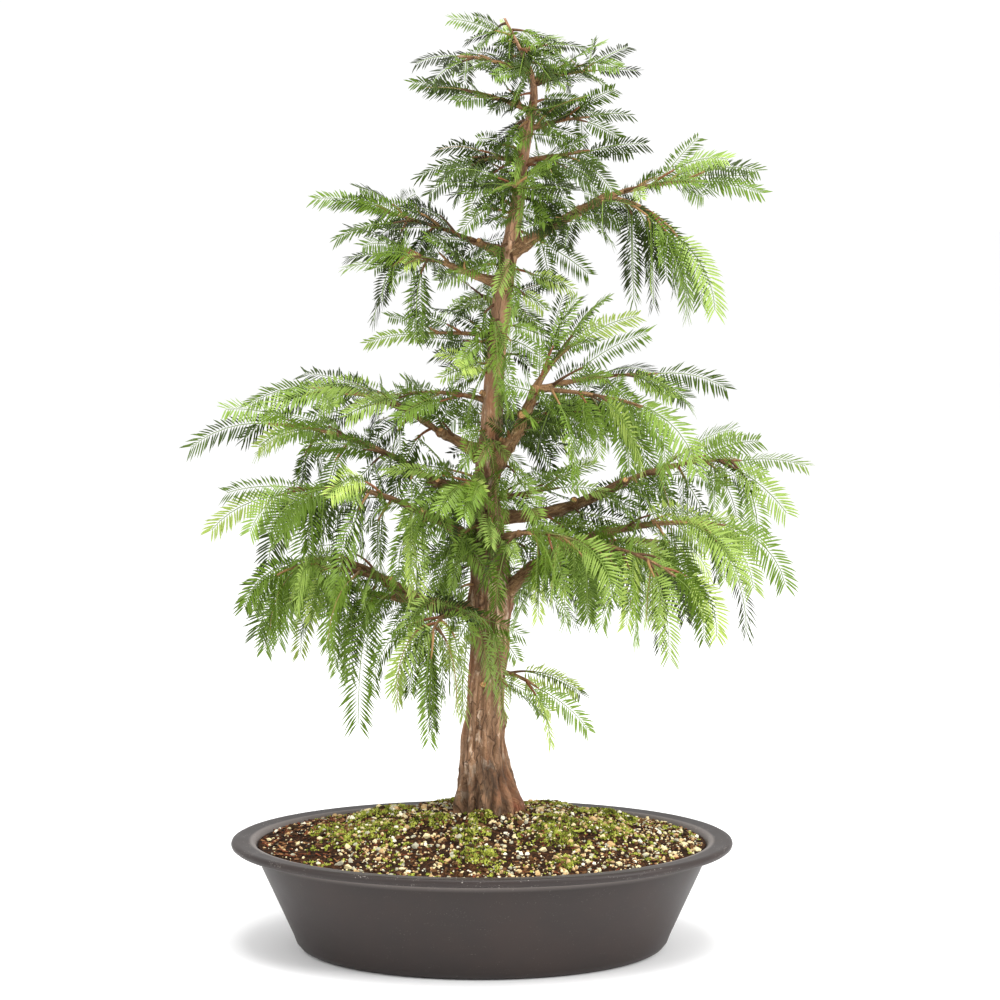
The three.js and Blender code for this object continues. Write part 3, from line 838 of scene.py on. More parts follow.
@dataclass(frozen=True)
class Grain:
    """An upright pattern of furrows or plates in bark.

    Attributes:
        width: width of a furrow or plate, in millimetres.
        run: its length, in millimetres.
        seed: shift into another stretch of the pattern.
        warp: size of the waves that bend the plates, and how far they do.
        crack: how sharply a plate rises from its crack.
        uneven: share of a plate's height that is its own.
    """

    width: float
    run: float
    seed: float
    warp: Pair = (1.3, 0.35)
    crack: float = 3.2
    uneven: float = 0.45

    def place(self, angle: float, distance: float, radius: float) -> Vector:
        """Returns the place in the pattern of an angle, a distance along and a radius."""
        x, y = circle(angle)
        x, y = x * radius / self.width, y * radius / self.width
        return Vector((x + self.seed, y, distance / self.run))

    def furrows(self, angle: float, distance: float, radius: float) -> float:
        """Returns a number that is lowest in a furrow and 1 on a ridge."""
        return 1 - abs(noise.noise(self.place(angle, distance, radius))) * 2

    def plates(self, angle: float, distance: float, radius: float) -> Pair:
        """Gives upright plates with cracks between them.

        Args:
            angle: place round the limb, in radians.
            distance: place along it, in millimetres.
            radius: radius there.

        Returns:
            The height, from 0 in a crack to about 1 on a plate, each plate at its own height,
            and the openness, from 0 in a crack to 1 out of it.
        """
        place = self.place(angle, distance, radius)
        size, strength = self.warp
        place += noise.noise_vector(place * size) * strength
        gaps, cells = noise.voronoi(place)
        own = noise.cell(cells[0] * 7.31 + Vector((self.seed, 0.37, 0.11)))
        opened = min(1.0, (gaps[1] - gaps[0]) * self.crack)
        return opened * (1 - self.uneven + self.uneven * own), opened


class Wire:
    """A shader socket: arithmetic on it adds Math nodes."""

    def __init__(self, shader: "Shader", socket: bpy.types.NodeSocket) -> None:
        """Wraps a socket of a shader."""
        self.shader, self.socket = shader, socket

    def math(self, operation: str, *values: Any) -> "Wire":
        """Returns a Math node's result on numbers or wires."""
        inputs = dict(enumerate(values))
        return self.shader.node("ShaderNodeMath", {"operation": operation}, inputs)

    def __add__(self, other: Any) -> "Wire":
        """Returns the sum."""
        return self.math("ADD", self, other)

    __radd__ = __add__

    def __mul__(self, other: Any) -> "Wire":
        """Returns the product."""
        return self.math("MULTIPLY", self, other)

    __rmul__ = __mul__

    def __sub__(self, other: Any) -> "Wire":
        """Returns the difference."""
        return self.math("SUBTRACT", self, other)

    def __rsub__(self, other: Any) -> "Wire":
        """Returns the difference from a number."""
        return self.math("SUBTRACT", other, self)

    def ramp(self, low: float, high: float) -> "Wire":
        """Returns 0 below low, 1 above high and a smooth change between them."""
        settings = {"interpolation_type": "SMOOTHSTEP"}
        return self.shader.node("ShaderNodeMapRange", settings, {0: self, 1: low, 2: high})


class Shader:
    """Builds one material round a Principled shader."""

    def __init__(self, name: str, **uniform: Any) -> None:
        """Starts a material.

        Args:
            name: name of the material.
            uniform: values of the shader's own sockets, with _ for the spaces in their names.
        """
        self.material = bpy.data.materials.new(name)
        self.material.use_nodes = True
        self.nodes = self.material.node_tree.nodes
        self.principled = next(n for n in self.nodes if n.type == "BSDF_PRINCIPLED")
        for key, value in uniform.items():
            self.principled.inputs[key.replace("_", " ")].default_value = value

    def node(
        self, kind: str, settings: dict[str, Any], inputs: dict[Any, Any], output: Any = 0
    ) -> Wire:
        """Adds any node.

        Args:
            kind: the node's type.
            settings: its attributes, set before its sockets.
            inputs: values or wires by the name or number of a socket.
            output: the socket that is read.

        Returns:
            The node's output.
        """
        made = self.nodes.new(kind)
        for key, value in settings.items():
            setattr(made, key, value)
        for key, value in inputs.items():
            if isinstance(value, Wire):
                self.material.node_tree.links.new(value.socket, made.inputs[key])
            else:
                made.inputs[key].default_value = value
        return Wire(self, made.outputs[output])

    def place(self) -> Wire:
        """Returns the place on the object, in metres."""
        return self.node("ShaderNodeTexCoord", {}, {}, "Object")

    def attribute(self, name: str) -> Wire:
        """Returns a vector attribute of the mesh."""
        return self.node("ShaderNodeAttribute", {"attribute_name": name}, {}, "Vector")

    def number(self, name: str) -> Wire:
        """Returns a number attribute of the mesh."""
        return self.node("ShaderNodeAttribute", {"attribute_name": name}, {}, "Fac")

    def height(self, place: Wire) -> Wire:
        """Returns the height of a place."""
        return self.node("ShaderNodeSeparateXYZ", {}, {0: place}, "Z")

    def vector(self, operation: str, *values: Any, output: Any = 0) -> Wire:
        """Returns a Vector Math node's result on vectors or wires."""
        inputs = dict(enumerate(values))
        return self.node("ShaderNodeVectorMath", {"operation": operation}, inputs, output)

    def stretch(self, vector: Wire, scale: Sequence[float]) -> Wire:
        """Returns a vector multiplied along each axis."""
        return self.vector("MULTIPLY", vector, scale)

    def cloud(self, vector: Wire, scale: float, detail: float = 3, roughness: float = 0.5) -> Wire:
        """Returns a noise pattern from 0 to 1."""
        inputs = {"Vector": vector, "Scale": scale, "Detail": detail, "Roughness": roughness}
        return self.node("ShaderNodeTexNoise", {}, inputs)

    def mix(self, share: Wire, low: Any, high: Any) -> Wire:
        """Returns a colour between two, each a wire or a colour."""
        colours = {6: low, 7: high}
        for key, value in colours.items():
            if not isinstance(value, Wire):
                colours[key] = (*value, 1)
        return self.node("ShaderNodeMix", {"data_type": "RGBA"}, {0: share, **colours}, 2)

    def feed(self, name: str, wire: Wire) -> None:
        """Links a wire to one of the shader's own sockets."""
        self.material.node_tree.links.new(wire.socket, self.principled.inputs[name])

    def bump(self, height: Wire, strength: float, distance: float) -> None:
        """Links a height pattern to the normal."""
        inputs = {"Height": height, "Strength": strength, "Distance": distance}
        self.feed("Normal", self.node("ShaderNodeBump", {}, inputs))


@dataclass(frozen=True)
class Plain:
    """A finish of one plain colour, dealt out by spray, stone or tuft."""

    name: str
    colour: Colour
    roughness: float = 0.55
    gloss: float = 0.2

    def material(self) -> Material:
        """Returns the new material."""
        own = {"Roughness": self.roughness, "Specular_IOR_Level": self.gloss}
        return Shader(self.name, Base_Color=(*self.colour, 1), **own).material


def materials_of(finishes: Sequence[Plain]) -> list[Material]:
    """Returns the new materials of a row of plain finishes."""
    return [finish.material() for finish in finishes]


# Greens from dark to light; tint() deals them out partly as painted light and painted shade.
NEEDLE_TINTS = [
    Plain("needles_shade", srgb(36, 46, 10), 0.5),
    Plain("needles_deep", srgb(50, 66, 13), 0.46),
    Plain("needles_mid", srgb(72, 94, 21), 0.44),
    Plain("needles_leaf", srgb(96, 122, 38), 0.42),
    Plain("needles_fresh", srgb(119, 145, 60), 0.42),
    Plain("needles_bright", srgb(142, 166, 80), 0.42),
    Plain("needles_new", srgb(158, 178, 86), 0.42),
]
RIB_TINTS = [
    Plain("rib_green", srgb(104, 126, 52), 0.5),
    Plain("rib_tan", srgb(130, 112, 66), 0.55),
]
TWIG_TINTS = [
    Plain("twig_brown", srgb(92, 66, 44), 0.65),
    Plain("twig_red", srgb(128, 84, 56), 0.6),
    Plain("twig_tan", srgb(150, 116, 76), 0.6),
]
STONE_TINTS = [
    Plain("stone_cream", srgb(220, 204, 158), 0.8),
    Plain("stone_tan", srgb(196, 164, 116), 0.8),
    Plain("stone_grey", srgb(166, 162, 140), 0.75),
    Plain("stone_white", srgb(240, 234, 208), 0.7),
    Plain("stone_brown", srgb(96, 66, 38), 0.85),
    Plain("stone_dark", srgb(54, 38, 22), 0.9),
]
MOSS_TINTS = [
    Plain("moss_bright", srgb(176, 182, 82), 0.8, 0.1),
    Plain("moss_yellow", srgb(142, 148, 56), 0.8, 0.1),
    Plain("moss_green", srgb(104, 112, 38), 0.8, 0.1),
    Plain("moss_deep", srgb(64, 68, 26), 0.85, 0.1),
]
CHIP_TINTS = [
    Plain("chip_red", srgb(118, 62, 38), 0.85, 0.2),
    Plain("chip_brown", srgb(76, 44, 28), 0.9, 0.2),
    Plain("chip_tan", srgb(150, 104, 66), 0.8, 0.2),
    Plain("chip_dark", srgb(44, 27, 17), 0.9, 0.2),
    Plain("chip_black", srgb(32, 21, 14), 0.9, 0.2),
]


class Spot(NamedTuple):
    """A patch of another colour on the bark: its middle and size in metres."""

    centre: Triple
    size: float
    colour: Colour


@dataclass(frozen=True)
class BarkFinish:
    """Fibrous bark in upright plates: dark cracks, plates of several browns, pale peeling strips.

    Attributes:
        name: name of the material.
        crack: colour between the plates.
        plate: the plates' darker brown.
        ridge: their lighter brown.
        strip: colour of fresh peeling strips.
        red: colour of the red patches.
        size: width of a plate in metres.
        foot: colour near the ground, damp and a little green.
        damp: heights between which the foot's colour fades out.
        fork_shade: heights between which painted shade makes the bark darkest, where the boughs
            crowd.
        young: colour of the thinner bark higher up.
        light_above: heights between which that colour comes in.
        spots: patches of another colour.
    """

    name: str
    crack: Colour
    plate: Colour
    ridge: Colour
    strip: Colour
    red: Colour
    size: float
    foot: Colour = srgb(84, 67, 48)
    damp: Pair = (0.105, 0.16)
    fork_shade: tuple[float, float, float, float] = (0.275, 0.31, 0.36, 0.40)
    young: Colour = srgb(198, 152, 116)
    light_above: Pair = (0.36, 0.46)
    spots: tuple[Spot, ...] = ()
    sway: float = 0.008
    plate_run: float = 0.12
    fibre_run: float = 0.06
    scale_run: float = 0.35
    relief: Triple = (0.3, 0.8, 0.6)
    depth: Pair = (0.9, 0.0014)
    matt: Pair = (0.78, 0.36)

    def material(self) -> Material:
        """Returns the new material, whose patterns follow the limb."""
        shader = Shader(self.name, Specular_IOR_Level=0.28)
        along = shader.attribute("bark")
        wave = shader.cloud(along, 0.5 / self.size, 3)
        bent = shader.vector("MULTIPLY_ADD", wave, (self.sway,) * 3, along)
        plates = shader.stretch(bent, (1, 1, self.plate_run))
        cells = {"Vector": plates, "Scale": 1 / self.size}
        edges = {"feature": "DISTANCE_TO_EDGE"}
        gap = shader.node("ShaderNodeTexVoronoi", edges, cells, "Distance")
        own = shader.node("ShaderNodeTexVoronoi", {}, cells, "Color")
        tone = shader.node("ShaderNodeSeparateColor", {}, {0: own}, "Red")
        long = (1, 1, self.fibre_run)
        fibres = shader.cloud(shader.stretch(bent, long), 2.6 / self.size, 6, 0.7)
        short = (1, 1, self.scale_run)
        scales = shader.cloud(shader.stretch(along, short), 1.1 / self.size, 5, 0.65)
        patches = shader.cloud(shader.stretch(along, short), 0.24 / self.size, 3, 0.55)

        base = shader.mix(fibres.ramp(0.34, 0.66), self.plate, self.ridge)
        base = shader.mix(patches.ramp(0.5, 0.68) * 0.7, base, self.red)
        peeling = scales.ramp(0.52, 0.64) * tone.ramp(0.3, 0.7) * 0.9
        base = shader.mix(peeling, base, self.strip)
        dull = scales.ramp(0.56, 0.38) * tone.ramp(0.7, 0.35) * 0.5
        base = shader.mix(dull, base, self.plate)
        height = shader.height(shader.place())
        young = height.ramp(*self.light_above) * scales.ramp(0.3, 0.6) * 0.6
        base = shader.mix(young, base, self.young)
        damp = (1 - height.ramp(*self.damp)) * scales.ramp(0.35, 0.6) * 0.85
        base = shader.mix(damp, base, self.foot)
        for spot in self.spots:
            off = shader.vector("DISTANCE", shader.place(), spot.centre, output="Value")
            ragged = off + (0.5 - scales) * spot.size * 2.2
            inside = ragged.ramp(spot.size, 0.4 * spot.size) * fibres.ramp(0.3, 0.6) * 0.85
            base = shader.mix(inside, base, spot.colour)

        # Painted shade: darker between the fork heights, and wherever the mesh is less open to
        # light.
        dark = height.ramp(*self.fork_shade[:2]) * (1 - height.ramp(*self.fork_shade[2:])) * 0.5
        cracks = (1 - gap.ramp(0.0, 0.07)) * patches.ramp(0.62, 0.4) * 0.75
        shade = (1 - fibres.ramp(0.24, 0.4)) * 0.7
        open_bark = (1 - cracks) * (1 - shade) * (1 - dark * patches.ramp(0.3, 0.6))
        open_bark = open_bark * (0.25 + shader.number("open") * 0.75)
        shader.feed("Base Color", shader.mix(open_bark, self.crack, base))
        matt, smoother = self.matt
        shader.feed("Roughness", matt - scales.ramp(0.5, 0.75) * smoother)
        plate, fibre, scale = self.relief
        relief = gap.ramp(0.0, 0.12) * plate + fibres * fibre + scales * scale
        shader.bump(relief, *self.depth)
        return shader.material


TRUNK_BARK = BarkFinish(
    "bark_trunk",
    crack=srgb(46, 29, 18),
    plate=srgb(136, 99, 70),
    ridge=srgb(192, 152, 120),
    strip=srgb(242, 212, 184),
    red=srgb(158, 98, 66),
    size=0.0052,
    spots=(
        Spot((0.008, 0.020, 0.134), 0.017, srgb(64, 52, 40)),
        Spot((0.034, 0.022, 0.108), 0.015, srgb(148, 88, 62)),
        Spot((0.000, 0.062, 0.150), 0.017, srgb(66, 54, 42)),
    ),
)
NO_YOUNG_BARK = (2, 3)
LIMB_BARK = BarkFinish(
    "bark_limb",
    crack=srgb(64, 42, 26),
    plate=srgb(136, 100, 66),
    ridge=srgb(180, 144, 102),
    strip=srgb(214, 182, 140),
    red=srgb(152, 98, 60),
    size=0.0026,
    light_above=NO_YOUNG_BARK,
)


@dataclass(frozen=True)
class CutFinish:
    """The pale face of a pruned stub, a little darker towards its rim."""

    name: str = "cut_wood"
    heart: Colour = srgb(222, 176, 116)
    rim: Colour = srgb(168, 112, 66)
    grain: float = 900
    depth: Pair = (0.3, 0.0004)

    def material(self) -> Material:
        """Returns the new material."""
        shader = Shader(self.name, Roughness=0.8)
        grain = shader.cloud(shader.place(), self.grain, 3)
        shader.feed("Base Color", shader.mix(grain.ramp(0.35, 0.7), self.heart, self.rim))
        shader.bump(grain, *self.depth)
        return shader.material


@dataclass(frozen=True)
class PotFinish:
    """Dark warm grey moulded clay look, matt, with pale dust that is also a painted highlight near
    the lip, a painted light on the inner wall, and a few scuffs.
    """

    name: str = "pot_body"
    body: Colour = srgb(41, 34, 32)
    warm: Colour = srgb(46, 37, 34)
    dust_sheen_colour: Colour = srgb(176, 168, 160)
    lit_wall: Colour = srgb(112, 104, 100)
    lip: Pair = (0.074, 0.085)
    lit_wall_edge: Pair = (0.1835, 0.1865)
    lit_wall_foot: Pair = (0.074, 0.080)
    depth: Pair = (0.18, 0.0003)

    def material(self) -> Material:
        """Returns the new material."""
        shader = Shader(self.name, Specular_IOR_Level=0.3)
        place = shader.place()
        tone = shader.cloud(place, 22, 4, 0.55)
        speck = shader.cloud(place, 900, 2, 0.6)
        streak = shader.cloud(shader.stretch(place, (0.25, 0.25, 1)), 260, 3, 0.6)
        base = shader.mix(tone.ramp(0.35, 0.7), self.body, self.warm)
        height = shader.height(place)
        # Pale specks, thickest towards the lip: real dust, and a painted highlight along the lip.
        lip_sheen = height.ramp(*self.lip) * 0.9 + 0.1
        dust_and_sheen = speck.ramp(0.6, 0.72) * streak.ramp(0.48, 0.66) * lip_sheen
        # Painted light: the inner wall above the soil is paler, as if the front light fell on it.
        level = shader.stretch(place, (1, 1 / POT_OVAL, 0))
        out = shader.vector("LENGTH", level, output="Value")
        inside = (1 - out.ramp(*self.lit_wall_edge)) * height.ramp(*self.lit_wall_foot) * 0.85
        base = shader.mix(inside, base, self.lit_wall)
        shader.feed("Base Color", shader.mix(dust_and_sheen, base, self.dust_sheen_colour))
        shader.feed("Roughness", 0.4 + tone * 0.14 + dust_and_sheen * 0.3)
        shader.bump(shader.cloud(place, 1400, 2) * 0.6 + streak * 0.5, *self.depth)
        return shader.material


@dataclass(frozen=True)
class SoilFinish:
    """Dark brown grit with painted shade: blacker in the hollows of its bump."""

    name: str = "soil_grit"
    dark: Colour = srgb(34, 21, 12)
    light: Colour = srgb(92, 58, 34)
    grit: float = 420
    lumps: float = 90
    depth: Pair = (0.9, 0.002)

    def material(self) -> Material:
        """Returns the new material."""
        shader = Shader(self.name, Roughness=0.95, Specular_IOR_Level=0.1)
        place = shader.place()
        grit = shader.cloud(place, self.grit, 4, 0.6)
        lumps = shader.cloud(place, self.lumps, 3, 0.5)
        # Painted shade over the grit's own tone: darker where the bump's noise is low.
        unshaded_grit = grit.ramp(0.38, 0.68) * lumps.ramp(0.3, 0.7)
        shader.feed("Base Color", shader.mix(unshaded_grit, self.dark, self.light))
        shader.bump(grit, *self.depth)
        return shader.material


class Tuft(NamedTuple):
    """One leafy shoot on the trunk: its height, heading, climb in degrees and size."""

    at: float
    heading: float
    rise: float
    scale: float
    habit: Habit = Habit.LEVEL


TUFTS = [
    Tuft(*row)
    for row in (
        (270, -122, -16, 1.3, Habit.DROOPING), (262, -84, -22, 1.1, Habit.DROOPING),
        (288, -150, -10, 1.2, Habit.DROOPING), (336, -122, -6, 0.8, Habit.DROOPING),
        (344, -70, 0, 0.7, Habit.DROOPING), (358, -100, -10, 0.9, Habit.DROOPING),
        (368, -140, 0, 0.8, Habit.DROOPING), (380, -64, 0, 0.7, Habit.DROOPING),
        (388, -112, -6, 0.85, Habit.DROOPING), (404, -80, -8, 0.7, Habit.DROOPING),
        (412, -124, 0, 0.7, Habit.DROOPING), (450, -60, 0, 0.6, Habit.DROOPING),
        (458, -150, 24, 0.9), (464, -100, -8, 0.75, Habit.DROOPING),
        (476, -72, -4, 0.75, Habit.DROOPING), (484, -124, -4, 0.75, Habit.DROOPING),
        (494, -40, 30, 0.8), (500, -96, -10, 0.7, Habit.DROOPING),
        (512, -140, 0, 0.65, Habit.DROOPING), (528, -36, -14, 0.95), (540, -20, 6, 0.85),
        (552, -70, -6, 0.65, Habit.DROOPING), (560, -118, -6, 0.6, Habit.DROOPING),
        (584, -150, 24, 0.9), (596, -50, 0, 0.8, Habit.DROOPING),
        (604, -112, -6, 0.75, Habit.DROOPING), (612, -76, 0, 0.8, Habit.DROOPING),
        (622, -30, 16, 0.95), (630, -100, -4, 0.7, Habit.DROOPING), (644, -66, 20, 0.8),
        (656, -120, -4, 0.55, Habit.DROOPING), (670, -84, 10, 0.7), (684, -60, 30, 0.7),
        (700, -100, 10, 0.6), (712, -40, 14, 0.55), (717, -150, 10, 0.5), (722, 80, 10, 0.5),
        (726, -80, 12, 0.45),
    )
]


class Sprig(NamedTuple):
    """One leafy side shoot of a stem or bough: where it grows, the way it points, and its size."""

    on: str
    at: float
    heading: float
    rise: float
    habit: Habit
    scale: float


SPRIGS = [
    Sprig(*row)
    for row in (
        ("left_upper", 0.06, 214, -14, Habit.ARCHING, 1.2),
        ("left_upper", 0.24, 250, -18, Habit.ARCHING, 1.1),
        ("left_upper", 0.42, 160, -18, Habit.ARCHING, 1.1),
        ("left_shoulder", 0.1, 246, -16, Habit.ARCHING, 1.2),
        ("left_shoulder", 0.3, 196, -20, Habit.ARCHING, 1.1),
        ("left_shoulder", 0.5, 236, -18, Habit.ARCHING, 1.1),
        ("left_shoulder", 0.68, 150, -20, Habit.ARCHING, 1.0),
        ("left_mid", 0.06, 244, -30, Habit.DROOPING, 1.1),
        ("left_mid", 0.22, 170, -36, Habit.DROOPING, 1.2),
        ("left_mid", 0.38, 236, -34, Habit.DROOPING, 1.2),
        ("left_mid", 0.56, 190, -36, Habit.DROOPING, 1.2),
        ("left_mid", 0.74, 240, -36, Habit.DROOPING, 1.0),
        ("left_low_spur", 0.98, 190, 4, Habit.WEEPING, 1.0),
        ("left_low", 0.1, 252, -26, Habit.WEEPING, 1.5),
        ("left_low", 0.3, 230, -30, Habit.WEEPING, 1.5),
        ("left_low", 0.5, 262, -30, Habit.WEEPING, 1.5),
        ("left_low_front", 0.5, 214, -24, Habit.WEEPING, 1.3),
        ("left_low_front", 0.9, 262, -30, Habit.WEEPING, 1.3),
        ("right_mid", 0.06, -70, -18, Habit.DROOPING, 1.1),
        ("right_mid", 0.28, 40, -22, Habit.DROOPING, 1.1),
        ("right_mid", 0.46, -50, -24, Habit.DROOPING, 1.1),
        ("right_mid", 0.66, 20, -24, Habit.DROOPING, 1.0),
        ("right_mid", 0.9, -30, -18, Habit.DROOPING, 1.0),
        ("right_low", 0.4, -60, -30, Habit.WEEPING, 1.3),
        ("right_low", 0.75, -20, -24, Habit.WEEPING, 1.2),
        ("right_low_front", 0.5, -70, -30, Habit.WEEPING, 1.2),
        ("right_front", 0.3, -80, -30, Habit.WEEPING, 1.1),
        ("right_front", 0.8, -40, -30, Habit.WEEPING, 1.1),
        ("right_fan_low", 0.4, -60, -24, Habit.DROOPING, 1.1),
        ("right_fan", 0.5, 40, -14, Habit.ARCHING, 1.1),
        ("right_high_low", 0.2, -50, -36, Habit.DROOPING, 1.0),
        ("right_high_low", 0.5, -80, -36, Habit.DROOPING, 1.1),
        ("left_high_front", 0.4, 230, -26, Habit.DROOPING, 0.9),
        ("left_high_front", 0.9, 200, -24, Habit.DROOPING, 0.9),
        ("left_high", 0.1, 214, 34, Habit.LEVEL, 1.0),
        ("left_high", 0.34, 150, -20, Habit.LEVEL, 1.0),
        ("left_high", 0.6, 220, -20, Habit.LEVEL, 1.0),
    )
]


@dataclass
class Needles:
    """Makes the needles and midribs of sprays: flat pointed blades in two ranks.

    Attributes:
        reach: length of the longest needles on a spray with no length, and what a millimetre adds.
        pitch: distance between pairs on a spray with no length, and what a millimetre adds.
        half_width: half the width of a needle with no length, and what a millimetre adds to it.
        half_thickness: half the thickness of a needle in millimetres.
        lean: angle between a needle and the midrib at the root, the middle and the tip.
        head: share of the path at which the last needles stand.
        rib_radii: radius of the midrib at its root and its tip.
        fresh_share: share of the sprays whose outer part is one tint fresher.
        inner_from: how far in a spray sits when its needles get fewer faces.
        outer_rings: place and width of each ring of a needle on an outer spray.
        inner_rings: the same on an inner spray.
    """

    reach: Pair = (4.0, 0.145)
    pitch: Pair = (1.6, 0.018)
    half_width: Pair = (0.58, 0.014)
    half_thickness: float = 0.2
    lean: Triple = (72, 64, 36)
    head: float = 0.9
    rib_radii: Pair = (0.5, 0.24)
    fresh_share: float = 0.3
    inner_from: float = 0.34
    outer_rings: tuple[Pair, ...] = ((0.28, 1.0), (0.74, 0.84))
    inner_rings: tuple[Pair, ...] = ((0.5, 1.1),)
    least_pairs: int = 6
    stagger: Pair = (0.2, 0.12)
    fullness: Triple = (0.55, 2.2, 0.5)
    uneven: Pair = (0.85, 1.08)
    stray: float = 5
    lift: Pair = (-0.16, 0.14)
    curl: float = 0.14
    sag: Pair = (0.04, 0.26)
    twist: float = 0.35

    @staticmethod
    def blade(rings: int) -> Array:
        """Returns the triangles of one blade: root point, rings of three, tip point."""
        faces = []
        for k in range(3):
            a, b = 1 + k, 1 + (k + 1) % 3
            faces.append((0, b, a))
            for low in range(0, 3 * rings - 3, 3):
                faces += [(a + low, b + low, b + low + 3), (a + low, b + low + 3, a + low + 3)]
            faces.append((a + 3 * rings - 3, b + 3 * rings - 3, 3 * rings + 1))
        return np.array(faces)

    def dress(self, bundle: Bundle, spray: Spray, tint: int, rib: int) -> None:
        """Adds one spray's needles and midrib to a bundle.

        Args:
            bundle: what they join.
            spray: the spray.
            tint: material of the needles.
            rib: material of the midrib.
        """
        chance = np.random.default_rng(spray.seed)
        length = spray.arc.length
        pairs = max(self.least_pairs, round(length / (self.pitch[0] + self.pitch[1] * length)))
        base = self.head * (np.arange(pairs) + 0.6) / pairs
        fresh = 0.62 + 0.3 * chance.random() if chance.random() < self.fresh_share else 2.0
        fresher = min(tint + 1, len(NEEDLE_TINTS) - 1)
        apart, stray = self.stagger
        for side in (-1, 1):
            t = base + side * apart / pairs + chance.uniform(-stray, stray, pairs) / pairs
            t = np.clip(t, 0, 1)
            for part, shade in ((t[t < fresh], tint), (t[t >= fresh], fresher)):
                if len(part):
                    self.rank(bundle, spray, part, side, chance, shade)
        shares = np.linspace(0, self.head, 7)
        radii = np.interp(shares, (0, 1), self.rib_radii)
        frames = spray.arc.frames(shares, spray.roll)
        bundle.add_tube(spray.arc.at(shares), frames, radii, 4, rib)

    def rank(
        self, bundle: Bundle, spray: Spray, t: Array, side: int, chance: Chance, tint: int
    ) -> None:
        """Adds the needles of one side of a spray.

        Args:
            bundle: what they join.
            spray: the spray.
            t: places of the needles, as shares of the spray's length.
            side: -1 or 1.
            chance: the spray's chance.
            tint: material of the needles.
        """
        n = len(t)
        along, across, over = spray.arc.frames(t, spray.roll)
        first, gain, loss = self.fullness
        full = np.minimum(1, first + gain * t) * (1 - loss * t**6)
        reach = self.reach[0] + self.reach[1] * spray.arc.length
        long = (reach * full + 1) * chance.uniform(*self.uneven, n)
        lean = np.interp(t, (0, 0.5, 1), self.lean) + chance.uniform(-self.stray, self.stray, n)
        lean = np.radians(lean)
        lift = chance.uniform(*self.lift, n)
        heading = along * np.cos(lean)[:, None] + across * (side * np.sin(lean))[:, None]
        heading += over * lift[:, None]
        heading /= np.linalg.norm(heading, axis=1, keepdims=True)
        curve = along * chance.uniform(0.0, self.curl, n)[:, None]
        curve += np.array([0, 0, -1]) * chance.uniform(*self.sag, n)[:, None]
        twist = chance.uniform(-self.twist, self.twist, n)[:, None]
        wide = np.cross(over + across * twist, heading)
        wide /= np.linalg.norm(wide, axis=1, keepdims=True)
        thick = np.cross(heading, wide)
        root = spray.arc.at(t)
        half = self.half_width[0] + self.half_width[1] * long
        rings = self.outer_rings if spray.inner < self.inner_from else self.inner_rings
        points = np.empty((n, 3 * len(rings) + 2, 3))
        points[:, 0] = root
        points[:, -1] = root + (heading + curve) * long[:, None]
        for ring, (u, share) in enumerate(rings):
            centre = root + (heading * u + curve * u * u) * long[:, None]
            w = wide * (half * share)[:, None]
            h = thick * self.half_thickness * share
            for k, offset in enumerate((w, h, -w - h)):
                points[:, 1 + 3 * ring + k] = centre + offset
        bundle.add_copies(points, self.blade(len(rings)), tint)


class Shade(NamedTuple):
    """How light a spray's tint is, and what its place adds: out, right, up and inside, as painted
    light and painted shade over the foliage's own greens; front_lift is painted light on shoots in
    front of the trunk.
    """

    base: float = 4.7
    out: float = 0.4
    right: float = 0.4
    up: float = -3.4
    inside: float = -1.6
    spread: float = 1.25
    bright_share: float = 0.03
    front_lift: float = 1.8


MASS_SEED, INNER_SEED = 700, 900
BOUGH_SEED, TRUNK_SEED, SPRIG_SEED, TUFT_SEED = 1000, 3000, 4000, 5000
TRUNK_PLATES, TRUNK_FURROWS = Grain(6.0, 62, 3.1), Grain(2.4, 26, 8.7)
TRUNK_FIBRES = Grain(1.3, 7, 9.7)


